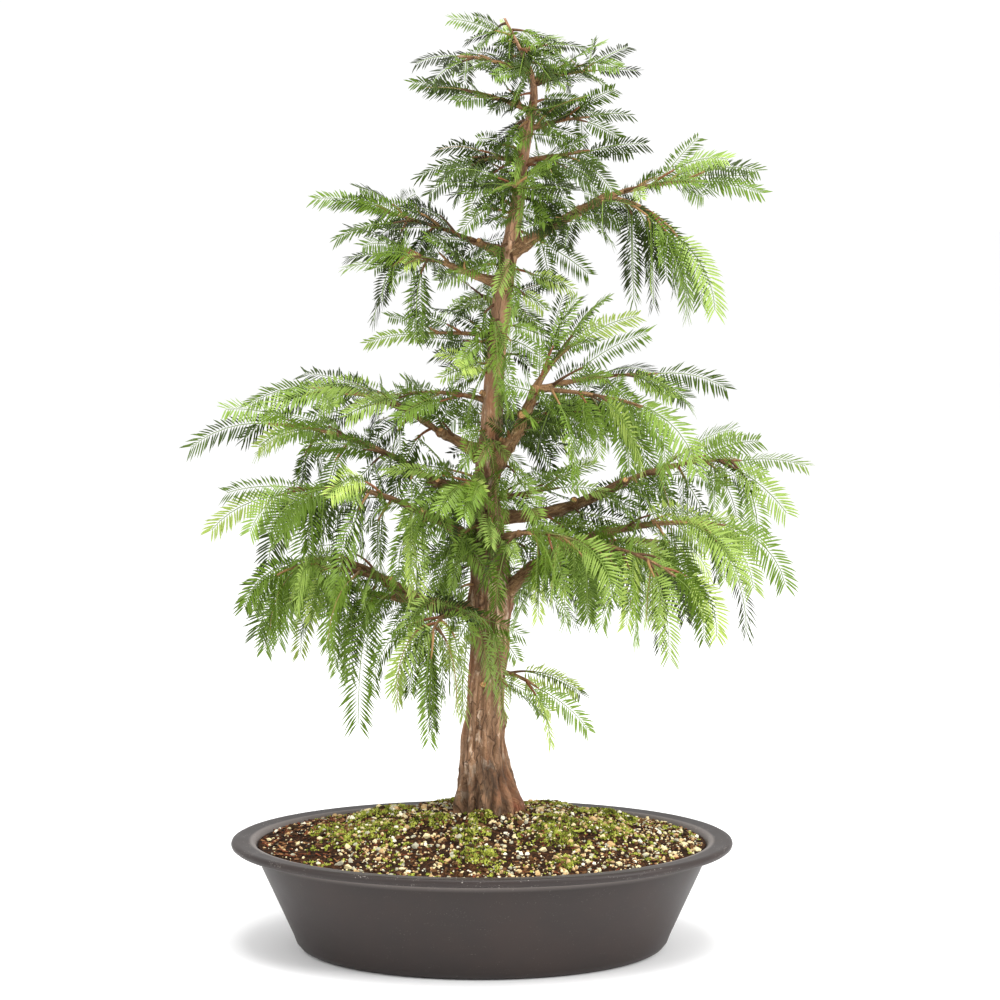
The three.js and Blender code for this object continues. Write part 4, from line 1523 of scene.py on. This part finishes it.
@dataclass
class Tree:
    """The whole tree: it holds every path and builds the wood and the foliage on them."""

    rule: Rule = field(default_factory=Rule)
    needles: Needles = field(default_factory=Needles)
    arcs: dict[str, Arc] = field(default_factory=dict)
    grown: dict[str, Grown] = field(default_factory=dict)
    trunk_skin: Skin = Skin(sides=132, pitch=1.7)
    bough_skin: Skin = Skin(sides=28, pitch=2.0)
    stem_skin: Skin = Skin(sides=12, pitch=3.0)
    path_steps: int = 40
    shoot_pitch: float = 17
    trunk_shoots: tuple[Triple, ...] = (
        (322, 396, 13), (454, 492, 9), (534, 552, 9), (570, 640, 9), (650, 700, 7), (702, 735, 5),
    )
    side_turn: float = 137.5
    flare_lobes: int = 5
    flare_depth: float = 0.1
    flare_height: float = 46
    flare_phase: float = 0.6
    root_depth: float = 7
    collars: Triple = (0.4, 0.3, 0.2)
    collar_run: Pair = (14, 6)
    fork_shares: Pair = (0.72, 0.55)
    stub_flare: float = 1.35
    twig_radii: Pair = (1.35, 0.7)
    twig_limits: Pair = (330, 480)
    habit_limits: tuple[tuple[float, Habit], ...] = (
        (330, Habit.DROOPING), (420, Habit.ARCHING), (600, Habit.LEVEL),
    )
    clearance: float = 1.5
    front: float = 30
    shade: Shade = Shade()

    def grow(self) -> None:
        """Lays out every bough and mass from the tables."""
        for row in BOUGHS:
            root = self.start(row.on, row.at)
            self.arcs[row.name] = Arc(root, row.heading, row.rise, row.length, row.turn, row.bend)
        for i, row in enumerate(MASSES):
            at = row.at if row.on == "trunk" else 1
            stem = Arc(self.start(row.on, at), row.heading, row.rise, row.length, 0, row.bend)
            self.grown[row.name] = self.rule.grow(stem, row.habit.value, row.twigs, i + 1)

    def start(self, on: str, at: float) -> Array:
        """Returns the point where a limb leaves the trunk or a bough."""
        return trunk_at(at)[:3] if on == "trunk" else self.arcs[on].at(at)

    def build(self) -> None:
        """Builds the trunk, the boughs and all the foliage."""
        self.build_trunk()
        self.build_boughs()
        self.build_foliage()

    def flare(self, angle: float, z: float, radius: float) -> Pair:
        """Returns the root flare's height at a place of the trunk, and how deep its groove is."""
        flare = clamp(1 - (z - TRUNK_SECTIONS[0].z) / self.flare_height)
        wave = math.cos(self.flare_lobes * angle + self.flare_phase)
        lobe = self.flare_depth * flare * radius * wave
        ridge = self.root_ridges(angle + 0.05 * math.sin(z / 7))
        groove = min(1.0, 2.2 * flare) * max(0.0, 1 - ridge / 3.2)
        lobe += ridge * min(1.0, 1.15 * flare) ** 1.6 - 3.4 * flare**2 - 2.4 * groove * flare
        return lobe, groove

    def trunk_relief(self, angle: float, distance: float, radius: float, share: float) -> Pair:
        """Returns the bark's height and openness on the trunk: flare, flutes, plates and knots."""
        z = distance + TRUNK_SECTIONS[0].z - self.root_depth
        lobe, groove = self.flare(angle, z, radius)
        x, y = circle(angle)
        flute = ripple(x * 1.6, y * 1.6, z / 60) * min(3.0, 0.15 * radius)
        lumps = ripple(x * 2.1, y * 2.1, z / 22 + 5)
        depth = min(1.0, (radius / 15) ** 1.4)
        rough = 0.55 + 0.45 * clamp((330 - z) / 90)
        plate, opened = TRUNK_PLATES.plates(angle, z, radius)
        broad = plate * 1.3 * rough
        small = TRUNK_FURROWS.furrows(angle, z, radius) * 0.8 * rough
        fine = TRUNK_FIBRES.furrows(angle, z, radius) * 0.3
        offs = [(knot.height, self.knot_distance(knot, angle, z, radius)) for knot in KNOTS]
        knots = sum(height * math.exp(-off**2) for height, off in offs)
        bark = (broad + small + fine - 0.9) * depth
        height = lobe + flute + lumps * 0.09 * radius + bark + knots
        return height, (1 - 0.95 * groove) * (0.35 + 0.65 * opened)

    @staticmethod
    def root_ridges(angle: float) -> float:
        """Returns how far the root ridges stand out at the ground, in millimetres."""
        height = 0.0
        for root in ROOTS:
            off = off_angle(angle, root.heading)
            height = max(height, root.height * math.exp(-((off / root.width) ** 2)))
        return height

    @staticmethod
    def knot_distance(knot: Knot, angle: float, z: float, radius: float) -> float:
        """Returns how far a place is from a knot's middle, against the knot's size."""
        return math.hypot(off_angle(angle, knot.heading) * radius, z - knot.at) / knot.size

    def build_trunk(self) -> None:
        """Builds the trunk from its flat cut at the ground to its tip."""
        bm = bmesh.new()
        low, high = TRUNK_SECTIONS[0].z - self.root_depth, TRUNK_SECTIONS[-1].z
        table = np.array(TRUNK_SECTIONS)
        heights = np.linspace(low, high, 64)
        smooth = np.stack([np.interp(heights, table[:, 0], table[:, k]) for k in (1, 2, 3)], 1)
        for _ in range(2):
            smooth[1:-1] = eased(smooth)

        def ring(t: float) -> Ring:
            """Returns the level ring at a share of the height."""
            z = low + (high - low) * t
            x, y, radius = (float(np.interp(z, heights, smooth[:, k])) for k in range(3))
            return np.array([x, y, z]), np.array([1.0, 0, 0]), np.array([0, 1.0, 0]), radius

        self.trunk_skin.wrap(bm, high - low, ring, self.trunk_relief)
        set_out(object_of(bm, "trunk_bark", [TRUNK_BARK.material()]), "bark", "trunk")

    def limb_relief(self, seed: float) -> Relief:
        """Returns the bark's height and openness on a limb: knuckles, lumps and plates."""
        grain = Grain(2.6, 17, seed)

        def relief(angle: float, distance: float, radius: float, share: float) -> Pair:
            """Returns the height and the openness at one place."""
            x, y = circle(angle)
            knuckle = max(0.0, ripple(seed * 7.3, 0, distance / 7) - 0.1)
            lump = ripple(x * 1.3 + seed, y * 1.3, distance / 9)
            plate, opened = grain.plates(angle, distance, radius)
            bark = min(0.8, 0.15 * radius) * (plate - 0.45)
            return radius * (0.42 * knuckle + 0.18 * lump) + bark, 0.3 + 0.7 * opened

        return relief

    def wrap_arc(
        self, bm: BMesh, arc: Arc, radii: Pair, skin: Skin, seed: float, collar: float = 0
    ) -> None:
        """Lays bark round a limb's path.

        Args:
            bm: the mesh that it joins.
            arc: the path.
            radii: radius at its root and at its tip.
            skin: the tube's facets.
            seed: shift of its pattern.
            collar: how much thicker it is where it leaves the trunk, as a share.
        """
        steps = self.path_steps
        shares = np.linspace(0, 1, steps + 1)
        path, frames = arc.at(shares), arc.frames(shares)
        path[1:-1] = eased(path)
        run, fade = self.collar_run

        def ring(t: float) -> Ring:
            """Returns the ring at a share of the limb's length."""
            i = min(int(t * steps), steps - 1)
            part = t * steps - i
            centre = path[i] * (1 - part) + path[i + 1] * part
            radius = radii[0] + (radii[1] - radii[0]) * t
            radius *= 1 + collar * math.exp(-max(0.0, t * arc.length - run) / fade)
            return centre, frames.across[i], frames.over[i], radius * (0.6 if t == 1 else 1)

        skin.wrap(bm, arc.length, ring, self.limb_relief(seed))

    def build_boughs(self) -> None:
        """Builds each bough with the stems that go on from its tip, and the trunk's own stems."""
        bark = LIMB_BARK.material()
        on_trunk, shoot, on_bough = self.collars
        for i, row in enumerate(BOUGHS):
            bm = bmesh.new()
            root, tip = row.radius, row.radius * BOUGH_TAPER
            collar = on_trunk if row.on == "trunk" else on_bough
            self.wrap_arc(bm, self.arcs[row.name], (root, tip), self.bough_skin, i + 1.5, collar)
            for k, mass in enumerate(m for m in MASSES if m.on == row.name):
                stem = self.grown[mass.name].stem
                thick = (tip * self.fork_shares[min(k, 1)], STEM_TIP_RADIUS)
                self.wrap_arc(bm, stem, thick, self.stem_skin, i + k + 9.2)
            self.add_knuckle(bm, self.arcs[row.name].at(1), tip * 1.1, i)
            set_out(object_of(bm, f"limb_{row.name}", [bark]), "bark", f"bough_{row.name}")
        self.build_stubs(bark)
        bm = bmesh.new()
        for k, mass in enumerate(m for m in MASSES if m.on == "trunk"):
            radii = (STEM_RADIUS_ON_TRUNK * 1.15, STEM_TIP_RADIUS)
            self.wrap_arc(bm, self.grown[mass.name].stem, radii, self.stem_skin, k + 40.5, shoot)
        set_out(object_of(bm, "limb_shoots", [bark]), "bark")

    def build_stubs(self, bark: Material) -> None:
        """Builds the pruned stubs: a short flared tube of bark round a pale cut face."""
        bm = bmesh.new()
        layer, depth = bark_layers(bm)
        for i, row in enumerate(STUBS):
            bark_radius = trunk_at(row.at)[3] * 0.8 if row.on == "trunk" else 0
            arc = Arc(self.start(row.on, row.at), row.heading, row.rise, 1)
            along = Vector(arc.frames(np.array([0.5])).along[0])
            limb = next((b for b in BOUGHS if b.name == row.on), None)
            if limb:
                bark_radius = limb.radius * (1 - (1 - BOUGH_TAPER) * row.at) * 0.7
            length = bark_radius + row.length
            middle = Vector(arc.points[0]) + along * (length / 2)
            turn = along.to_track_quat("Z", "Y").to_matrix().to_4x4()
            cone = bmesh.ops.create_cone(
                bm, cap_ends=True, segments=18, radius1=row.radius * self.stub_flare,
                radius2=row.radius, depth=length, matrix=Matrix.Translation(middle) @ turn,
            )["verts"]
            caps = {face for vert in cone for face in vert.link_faces if len(face.verts) > 4}
            cut = max(caps, key=lambda face: (face.calc_center_median() - middle).dot(along))
            rim = bmesh.ops.inset_region(
                bm, faces=[cut], thickness=0.28 * row.radius, depth=0.12 * row.radius
            )
            bmesh.ops.translate(bm, verts=cut.verts, vec=along * (-0.16 * row.radius))
            cut.material_index = 1
            for vert in {v for face in (*rim["faces"], cut) for v in face.verts} | set(cone):
                lump = noise.noise(vert.co / 2.2 + Vector((i, 0, 0)))
                vert.co += (vert.co - middle) * (0.1 * lump)
                vert[layer], vert[depth] = vert.co * MM, 1
        set_out(object_of(bm, "pruned_stubs", [bark, CutFinish().material()]), "bark")

    def add_knuckle(self, bm: BMesh, centre: Array, radius: float, seed: float) -> None:
        """Adds the swelling where a bough forks into its stems."""
        layer, depth = bark_layers(bm)
        ball = bmesh.ops.create_icosphere(bm, subdivisions=3, radius=radius)["verts"]
        for vert in ball:
            vert[depth] = 1
            vert[layer] = vert.co * MM + Vector((0, 0, seed * 0.05))
            lump = noise.noise(vert.co.normalized() * 1.7 + Vector((seed, 0, 0)))
            vert.co = vert.co * (1 + 0.16 * lump) + Vector(centre)

    def clear_of_trunk(self, arc: Arc) -> bool:
        """Tells whether a spray's path stays out of the trunk past its root."""
        points = arc.at(np.linspace(0.25, 1, 7))
        trunk = trunk_at(points[:, 2])
        away = np.hypot(points[:, 0] - trunk[:, 0], points[:, 1] - trunk[:, 1])
        return bool(np.all(away > trunk[:, 3] + self.clearance))

    def tint(self, spray: Spray, chance: Chance, lift: float = 0) -> int:
        """Deals out a tint by the spray's place.

        Args:
            spray: the spray.
            chance: chance of its mass.
            lift: how many tints lighter than its place alone would make it, as painted light on the
                shoots in front of the trunk.

        Returns:
            A number of a needle tint: lighter outside, low down and to the right, darker inside and
                high up; painted light and painted shade laid over the greens' own spread.
        """
        x, y, z = spray.arc.at(0.6)
        out = min(1.0, math.hypot(x, y - 30) / 190)
        side = clamp(x / 150, -1.0)
        height = (z - 200) / 530
        shade = self.shade
        # Painted light and painted shade: sprays outside, low down and to the right get lighter
        # tints, sprays inside the crown darker ones.
        light = shade.base + shade.out * out + shade.right * side + shade.up * height
        light += shade.inside * spray.inner + chance.normal(lift, shade.spread)
        if chance.random() < shade.bright_share:
            light += 2
        return int(clamp(round(light), 0, len(NEEDLE_TINTS) - 1))

    def build_foliage(self) -> None:
        """Builds each mass's needles, and the twigs of all the masses in three pieces."""
        tints, woods = materials_of(NEEDLE_TINTS + RIB_TINTS), materials_of(TWIG_TINTS)
        layers = {"low": Bundle(), "middle": Bundle(), "high": Bundle()}
        first_rib = len(NEEDLE_TINTS)
        low, middle = self.twig_limits
        for i, row in enumerate(MASSES):
            grown = self.grown[row.name]
            bundle = Bundle()
            chance = np.random.default_rng(MASS_SEED + i)
            for spray in grown.sprays:
                if self.clear_of_trunk(spray.arc):
                    rib = first_rib + int(chance.random() < 0.1)
                    self.needles.dress(bundle, spray, self.tint(spray, chance), rib)
            set_out(bundle.object(f"needles_{row.name}", tints), "foliage", f"foliage_{row.name}")
            height = grown.stem.points[0][2]
            layer = layers["low" if height < low else "middle" if height < middle else "high"]
            for twig in grown.twigs:
                self.add_twig(layer, twig, int(chance.integers(len(woods))))
        for name, shoots in self.inner_shoots().items():
            bundle = Bundle()
            chance = np.random.default_rng(INNER_SEED + len(name))
            for shoot in shoots:
                for spray in shoot.sprays:
                    if self.clear_of_trunk(spray.arc):
                        # Painted light: shoots in front of the trunk take lighter tints.
                        lit = name == "trunk" and spray.arc.points[0][1] < self.front
                        tint = self.tint(spray, chance, self.shade.front_lift if lit else 0)
                        self.needles.dress(bundle, spray, tint, first_rib)
                self.add_twig(layers["middle"], shoot.stem, int(chance.integers(len(woods))))
            set_out(bundle.object(f"needles_on_{name}", tints), "foliage")
        for name, layer in layers.items():
            set_out(layer.object(f"twigs_{name}", woods, smooth=True), "bark")

    def inner_shoots(self) -> dict[str, list[Grown]]:
        """Grows the short leafy shoots along the boughs and the trunk.

        Returns:
            The shoots by the limb kind that carries them.
        """
        on_boughs, on_trunk = [], []
        for i, row in enumerate(BOUGHS):
            arc = self.arcs[row.name]
            for k in range(max(2, round(arc.length / self.shoot_pitch))):
                share = 0.34 + 0.66 * (k + 0.5) / (arc.length / self.shoot_pitch)
                if share < 1:
                    out = arc.heading_at(share) + (62 if k % 2 else -62)
                    low = arc.at(share)[2] < 400
                    habit, rise = (Habit.ARCHING, 6) if low else (Habit.LEVEL, 34)
                    seed = BOUGH_SEED + i * 40 + k
                    on_boughs.append(self.rule.shoot(arc.at(share), out, habit.value, seed, rise))
        for k, row in enumerate(SPRIGS):
            start = self.grown[row.on].stem.at(row.at)
            own = (row.habit.value, SPRIG_SEED + k, row.rise, row.scale)
            on_boughs.append(self.rule.shoot(start, row.heading, *own))
        heights = [z for low, high, pitch in self.trunk_shoots for z in np.arange(low, high, pitch)]
        for k, z in enumerate(heights):
            heading = self.side_turn * k
            own = (self.habit_at(z).value, TRUNK_SEED + k)
            on_trunk.append(self.rule.shoot(self.on_bark(z, heading), heading, *own))
        for row in TUFTS:
            start = self.on_bark(row.at, row.heading, 0.9)
            own = (row.habit.value, TUFT_SEED + round(row.at), row.rise, row.scale)
            on_trunk.append(self.rule.shoot(start, row.heading, *own))
        return {"boughs": on_boughs, "trunk": on_trunk}

    @staticmethod
    def on_bark(z: float, heading: float, depth: float = 1) -> Array:
        """Returns the point at a height and a heading, at a share of the trunk's radius."""
        x, y, _, radius = trunk_at(z)
        across, over = circle(math.radians(heading))
        return np.array([x + depth * radius * across, y + depth * radius * over, z])

    def habit_at(self, height: float) -> Habit:
        """Returns the habit of small shoots at a height."""
        return next((habit for limit, habit in self.habit_limits if height < limit), Habit.TIP)

    def add_twig(self, bundle: Bundle, twig: Arc, tint: int) -> None:
        """Adds one tapering twig."""
        shares = np.linspace(0, 1, 7)
        radii = np.interp(shares, (0, 1), self.twig_radii)
        bundle.add_tube(twig.at(shares), twig.frames(shares), radii, 6, tint)


@dataclass
class Pot:
    """The oval pot: a turned profile squashed to an oval, with two drain holes."""

    steps: int = 144
    drain_radius: float = 8
    drain_spacing: float = 180
    drill_depth: float = 40
    profile: tuple[Pair, ...] = (
        (0, 0), (137, 0), (141.5, 0.6), (145.4, 2.6), (148.6, 6.6), (151, 13), (157.8, 28),
        (165.6, 45), (173.4, 62), (179.8, 76.2), (180.6, 79.4), (182.6, 81.0), (194.5, 81.2),
        (197.6, 81.7), (199.4, 83.1), (200, 85.0), (199.3, 86.9), (197.4, 87.9), (194.6, 87.9),
        (190, 87.4), (184.4, 87.4), (182.0, 86.9), (180.8, 85.7), (180.0, 84), (163.5, 48.5),
        (147, 13.6), (144, 10), (136.5, 8), (0, 8),
    )

    def build(self) -> None:
        """Builds the pot."""
        bm = turned(self.profile, self.steps)
        bmesh.ops.scale(bm, vec=(1, POT_OVAL, 1), verts=bm.verts)
        bmesh.ops.recalc_face_normals(bm, faces=bm.faces)
        pot = object_of(bm, "pot_oval", [PotFinish().material()])
        set_out(pot, "pot", "pot")
        self.drill(pot)

    def drill(self, pot: Piece) -> None:
        """Cuts the two drain holes through the floor."""
        bm = bmesh.new()
        for side in (-1, 1):
            place = Matrix.Translation((side * self.drain_spacing / 2, 0, 0))
            bmesh.ops.create_cone(
                bm, cap_ends=True, segments=32, radius1=self.drain_radius,
                radius2=self.drain_radius, depth=self.drill_depth, matrix=place,
            )
        drill = object_of(bm, "drill", [])
        bpy.context.scene.collection.objects.link(drill)
        cut = pot.modifiers.new("drains", "BOOLEAN")
        cut.operation, cut.solver, cut.object = "DIFFERENCE", "EXACT", drill
        cut_pot = pot.evaluated_get(bpy.context.evaluated_depsgraph_get())
        holed = bpy.data.meshes.new_from_object(cut_pot)
        pot.modifiers.clear()
        pot.data = holed
        bpy.data.objects.remove(drill)


class Cushion(NamedTuple):
    """One moss cushion: share of the way to the soil's edge, angle round it, and its own size."""

    share: float
    angle: float
    radius: float
    height: float


MOSS_CUSHIONS = [
    Cushion(*row)
    for row in (
        (0.6, 208, 34, 5), (0.74, 184, 22, 3.5), (0.5, 160, 30, 5), (0.62, 104, 30, 4.5),
        (0.66, 62, 28, 4.5), (0.62, 22, 32, 5), (0.58, 340, 28, 5), (0.52, 305, 24, 4.5),
        (0.74, 268, 20, 3.5), (0.84, 296, 16, 3), (0.22, 265, 13, 6), (0.34, 222, 20, 4),
        (0.38, 330, 20, 4), (0.46, 262, 20, 4),
    )
]


def tumbled(chance: Chance, lean: float, axis: str) -> Array:
    """Returns the matrix of a chance lean about an axis and a turn about the upright one."""
    turn = Matrix.Rotation(chance.uniform(0, ANY_TURN), 3, "Z")
    return np.array(turn @ Matrix.Rotation(chance.normal(0, lean), 3, axis))


@dataclass
class Bed:
    """The soil in the pot with its gravel, bark chips and moss."""

    edge: float = 178.6
    edge_height: float = 84.2
    top_height: float = 103
    power: float = 1.2
    pull_back: float = 1.25
    rings: int = 70
    steps: int = 200
    marked: float = 94
    under: tuple[Pair, ...] = ((145.5, 14.0), (136.0, 8.4), (0.0, 8.4))
    spread: Pair = (0.17, 0.985)
    stones: tuple[tuple[int, Pair, int], ...] = (
        (420, (2.0, 3.5), 11), (1900, (1.2, 2.3), 12), (4200, (0.6, 1.4), 13),
    )
    stone_deal: tuple[float, ...] = (0.2, 0.2, 0.15, 0.07, 0.22, 0.16)
    chip_tries: int = 4200
    moss_tries: int = 66000
    mulch_from: float = -108
    mulch_share: float = 0.6

    def oval(self, share: float, angle: float) -> Pair:
        """Returns the place at a share of the way out and an angle, seen from above."""
        x, y = circle(angle)
        return share * self.edge * x, share * self.edge * POT_OVAL * y

    def swell(self, x: float, y: float) -> Pair:
        """Finds the moss cushion at a place of the undrawn oval.

        Args:
            x: place along the pot, in millimetres.
            y: place across it.

        Returns:
            The cushion's height there, and how near its middle that is, from 0 to 1.
        """
        height = near = 0.0
        for cushion in MOSS_CUSHIONS:
            middle = self.oval(cushion.share, math.radians(cushion.angle))
            dx, dy = x - middle[0], y - middle[1]
            rise = max(0.0, 1 - (dx * dx + dy * dy) / cushion.radius**2)
            height, near = max(height, cushion.height * rise), max(near, rise)
        return height, near

    def point(self, share: float, angle: float) -> Triple:
        """Returns the ground at a share of the way out from the trunk and an angle."""
        x, y = self.oval(share, angle)
        mound, _ = self.swell(x, y)
        pull = 1 - share
        foot = TRUNK_SECTIONS[0]
        rise = max(0.0, math.cos(share * math.pi / 2)) ** self.power
        z = self.edge_height + (self.top_height - self.edge_height) * rise + mound
        x, y = x + foot.x * pull, y + foot.y * min(1, self.pull_back * pull)
        rough = ripple(x / 9, y / 9, 0) * 0.8 + ripple(x / 3, y / 3, 5) * 0.4
        return x, y, z + rough * min(1, 6 * (1 - share) + 0.25)

    def build(self) -> None:
        """Builds the soil and all that lies on it."""
        self.build_soil()
        self.build_gravel()
        self.build_chips()
        self.build_moss()

    def build_soil(self) -> None:
        """Builds the soil as one closed body."""
        top = [(self.edge * k / self.rings, self.marked) for k in range(self.rings + 1)]
        bm = turned([*top, *self.under], self.steps)
        for vert in bm.verts:
            if vert.co.z > self.edge_height:
                share = min(1.0, math.hypot(vert.co.x, vert.co.y) / self.edge)
                vert.co = Vector(self.point(share, math.atan2(vert.co.y, vert.co.x)))
            else:
                vert.co.y *= POT_OVAL
        bmesh.ops.recalc_face_normals(bm, faces=bm.faces)
        set_out(object_of(bm, "soil_bed", [SoilFinish().material()]), "soil", "soil")

    def scatter(self, count: int, seed: int) -> Iterator[tuple[Array, Chance]]:
        """Deals out places on the ground evenly.

        Args:
            count: number of places.
            seed: seed of the chance.

        Yields:
            Each place with the chance, for what else is drawn there.
        """
        chance = np.random.default_rng(seed)
        least, most = self.spread
        for _ in range(count):
            share = math.sqrt(chance.uniform(least**2, most**2))
            yield np.array(self.point(share, chance.uniform(0, FULL_TURN))), chance

    def build_gravel(self) -> None:
        """Builds the stones: a few faces each, squashed, turned and half sunk."""
        bundle = Bundle()
        stone = bmesh.new()
        bmesh.ops.create_icosphere(stone, subdivisions=1, radius=1)
        corners, faces = arrays_of(stone)
        deal = self.stone_deal
        for count, sizes, seed in self.stones:
            for place, chance in self.scatter(count, seed):
                if place[0] < self.mulch_from and chance.random() < self.mulch_share:
                    continue
                size = chance.uniform(*sizes) * chance.uniform(0.65, 1.15, 3) * (1, 1, 0.75)
                lumps = 1 + chance.uniform(-0.3, 0.22, (len(corners), 1))
                turn = Matrix.Rotation(chance.uniform(0, ANY_TURN), 3, chance.normal(size=3))
                points = (corners * lumps * size) @ np.array(turn).T + place
                points = points + (0, 0, 0.25 * size[2])
                bundle.add(points, faces, int(chance.choice(len(deal), p=deal)))
        set_out(bundle.object("gravel", materials_of(STONE_TINTS)), "soil")

    def build_chips(self) -> None:
        """Builds flat bark chips and bits of twig, thickest at the left end of the pot."""
        chip = bmesh.new()
        bmesh.ops.create_cube(chip, size=1)
        bmesh.ops.triangulate(chip, faces=chip.faces)
        corners, faces = arrays_of(chip)
        corners[:, 1] *= np.where(corners[:, 0] > 0, 0.55, 1)
        bundle = Bundle()
        for place, chance in self.scatter(self.chip_tries, 21):
            in_mulch = place[0] < self.mulch_from
            if chance.random() > (0.8 if in_mulch else 0.4):
                continue
            long = chance.uniform(2, 7) if in_mulch else chance.uniform(1.2, 4)
            size = (long, chance.uniform(0.8, 2.0), chance.uniform(0.4, 0.8))
            points = (corners * size) @ tumbled(chance, 0.22, "Y").T + place + (0, 0, 0.9)
            bundle.add(points, faces, int(chance.integers(len(CHIP_TINTS))))
        set_out(bundle.object("bark_chips", materials_of(CHIP_TINTS)), "soil")

    def build_moss(self) -> None:
        """Builds the moss: short pointed leaves over the cushions and in ragged scraps between."""
        corners = np.array([(1, 0, 0), (-0.5, 0.87, 0), (-0.5, -0.87, 0), (0, 0, 1)])
        faces = np.array([(0, 2, 1), (0, 1, 3), (1, 2, 3), (2, 0, 3)])
        bundle = Bundle()
        chance = np.random.default_rng(31)
        for _ in range(self.moss_tries):
            share = math.sqrt(chance.uniform(0.01, 0.97))
            angle = chance.uniform(0, FULL_TURN)
            x, y = self.oval(share, angle)
            _, near = self.swell(x, y)
            clump = ripple(x / 5, y / 5, 3)
            ragged = clump * 0.8 + ripple(x / 20, y / 20, 8) * 0.5
            if near * 0.9 + ragged < 0.31 or x < self.mulch_from - 30:
                continue
            place = np.array(self.point(share, angle))
            place[2] += 1.6 * max(0.0, clump + 0.2)
            tall = chance.uniform(1.0, 2.3) * (0.8 + 0.5 * near)
            size = (chance.uniform(0.6, 1.25), chance.uniform(0.6, 1.25), tall)
            points = (corners * size) @ tumbled(chance, 0.8, "X").T + place - (0, 0, 0.6)
            patch = ripple(x / 12, y / 12, 30) * 2.4 + chance.normal(1.7, 0.7) - 1.8 * clump
            bundle.add(points, faces, int(clamp(round(patch), 0, len(MOSS_TINTS) - 1)))
        set_out(bundle.object("moss", materials_of(MOSS_TINTS)), "soil")


class Box(NamedTuple):
    """One soft box: its name, its place and width in metres, and its power."""

    name: str
    place: Triple
    width: float
    power: float


SOFT_BOXES = (
    Box("left", (-1.7, -1.3, 1.2), 1.1, 12),
    Box("right", (1.8, -1.1, 1.1), 0.9, 34),
    Box("top", (0.1, -0.5, 2.2), 1.2, 40),
)


@dataclass
class Studio:
    """The camera at the photo's angle, a pale floor and soft lights."""

    eye: Triple = (0.0144, -2.4, 0.594)
    pitch: float = 5.6
    lens: float = 109.926
    sensor: float = 36
    white: float = 0.97
    room_light: float = 1.04
    aim: Triple = (0, 0, 0.35)

    def build(self) -> None:
        """Builds the floor, the lights and the camera."""
        bpy.context.scene.view_settings.view_transform = "Standard"
        self.build_floor()
        self.build_lights()
        camera = bpy.data.cameras.new("camera")
        camera.lens, camera.sensor_width = self.lens, self.sensor
        holder = bpy.data.objects.new("camera", camera)
        holder.location = self.eye
        holder.rotation_euler = (math.radians(90 - self.pitch), 0, 0)
        bpy.context.scene.collection.objects.link(holder)
        bpy.context.scene.camera = holder

    def build_floor(self) -> None:
        """Builds a flat pale floor."""
        bm = bmesh.new()
        bmesh.ops.create_grid(bm, x_segments=1, y_segments=1, size=60)
        floor = bpy.data.objects.new("floor", bpy.data.meshes.new("floor"))
        bm.to_mesh(floor.data)
        bm.free()
        paper = Plain("floor", (self.white,) * 3, 0.9, 0.1)
        floor.data.materials.append(paper.material())
        bpy.context.scene.collection.objects.link(floor)

    def build_lights(self) -> None:
        """Sets up soft boxes at both sides and over the top, in a white room."""
        world = bpy.data.worlds.new("room")
        world.use_nodes = True
        background = world.node_tree.nodes["Background"]
        background.inputs["Color"].default_value = (1, 1, 1, 1)
        background.inputs["Strength"].default_value = self.room_light
        bpy.context.scene.world = world
        for box in SOFT_BOXES:
            light = bpy.data.lights.new(box.name, "AREA")
            light.size, light.energy = box.width, box.power
            lamp = bpy.data.objects.new(box.name, light)
            lamp.location = box.place
            toward = Vector(self.aim) - lamp.location
            lamp.rotation_euler = toward.to_track_quat("-Z", "Y").to_euler()
            bpy.context.scene.collection.objects.link(lamp)


def main() -> None:
    """Builds every sub-assembly in order."""
    logging.basicConfig(level=logging.INFO, format="%(name)s %(message)s")
    tree = Tree()
    tree.grow()
    tree.build()
    Pot().build()
    Bed().build()
    Studio().build()


if __name__ == "__main__":
    main()
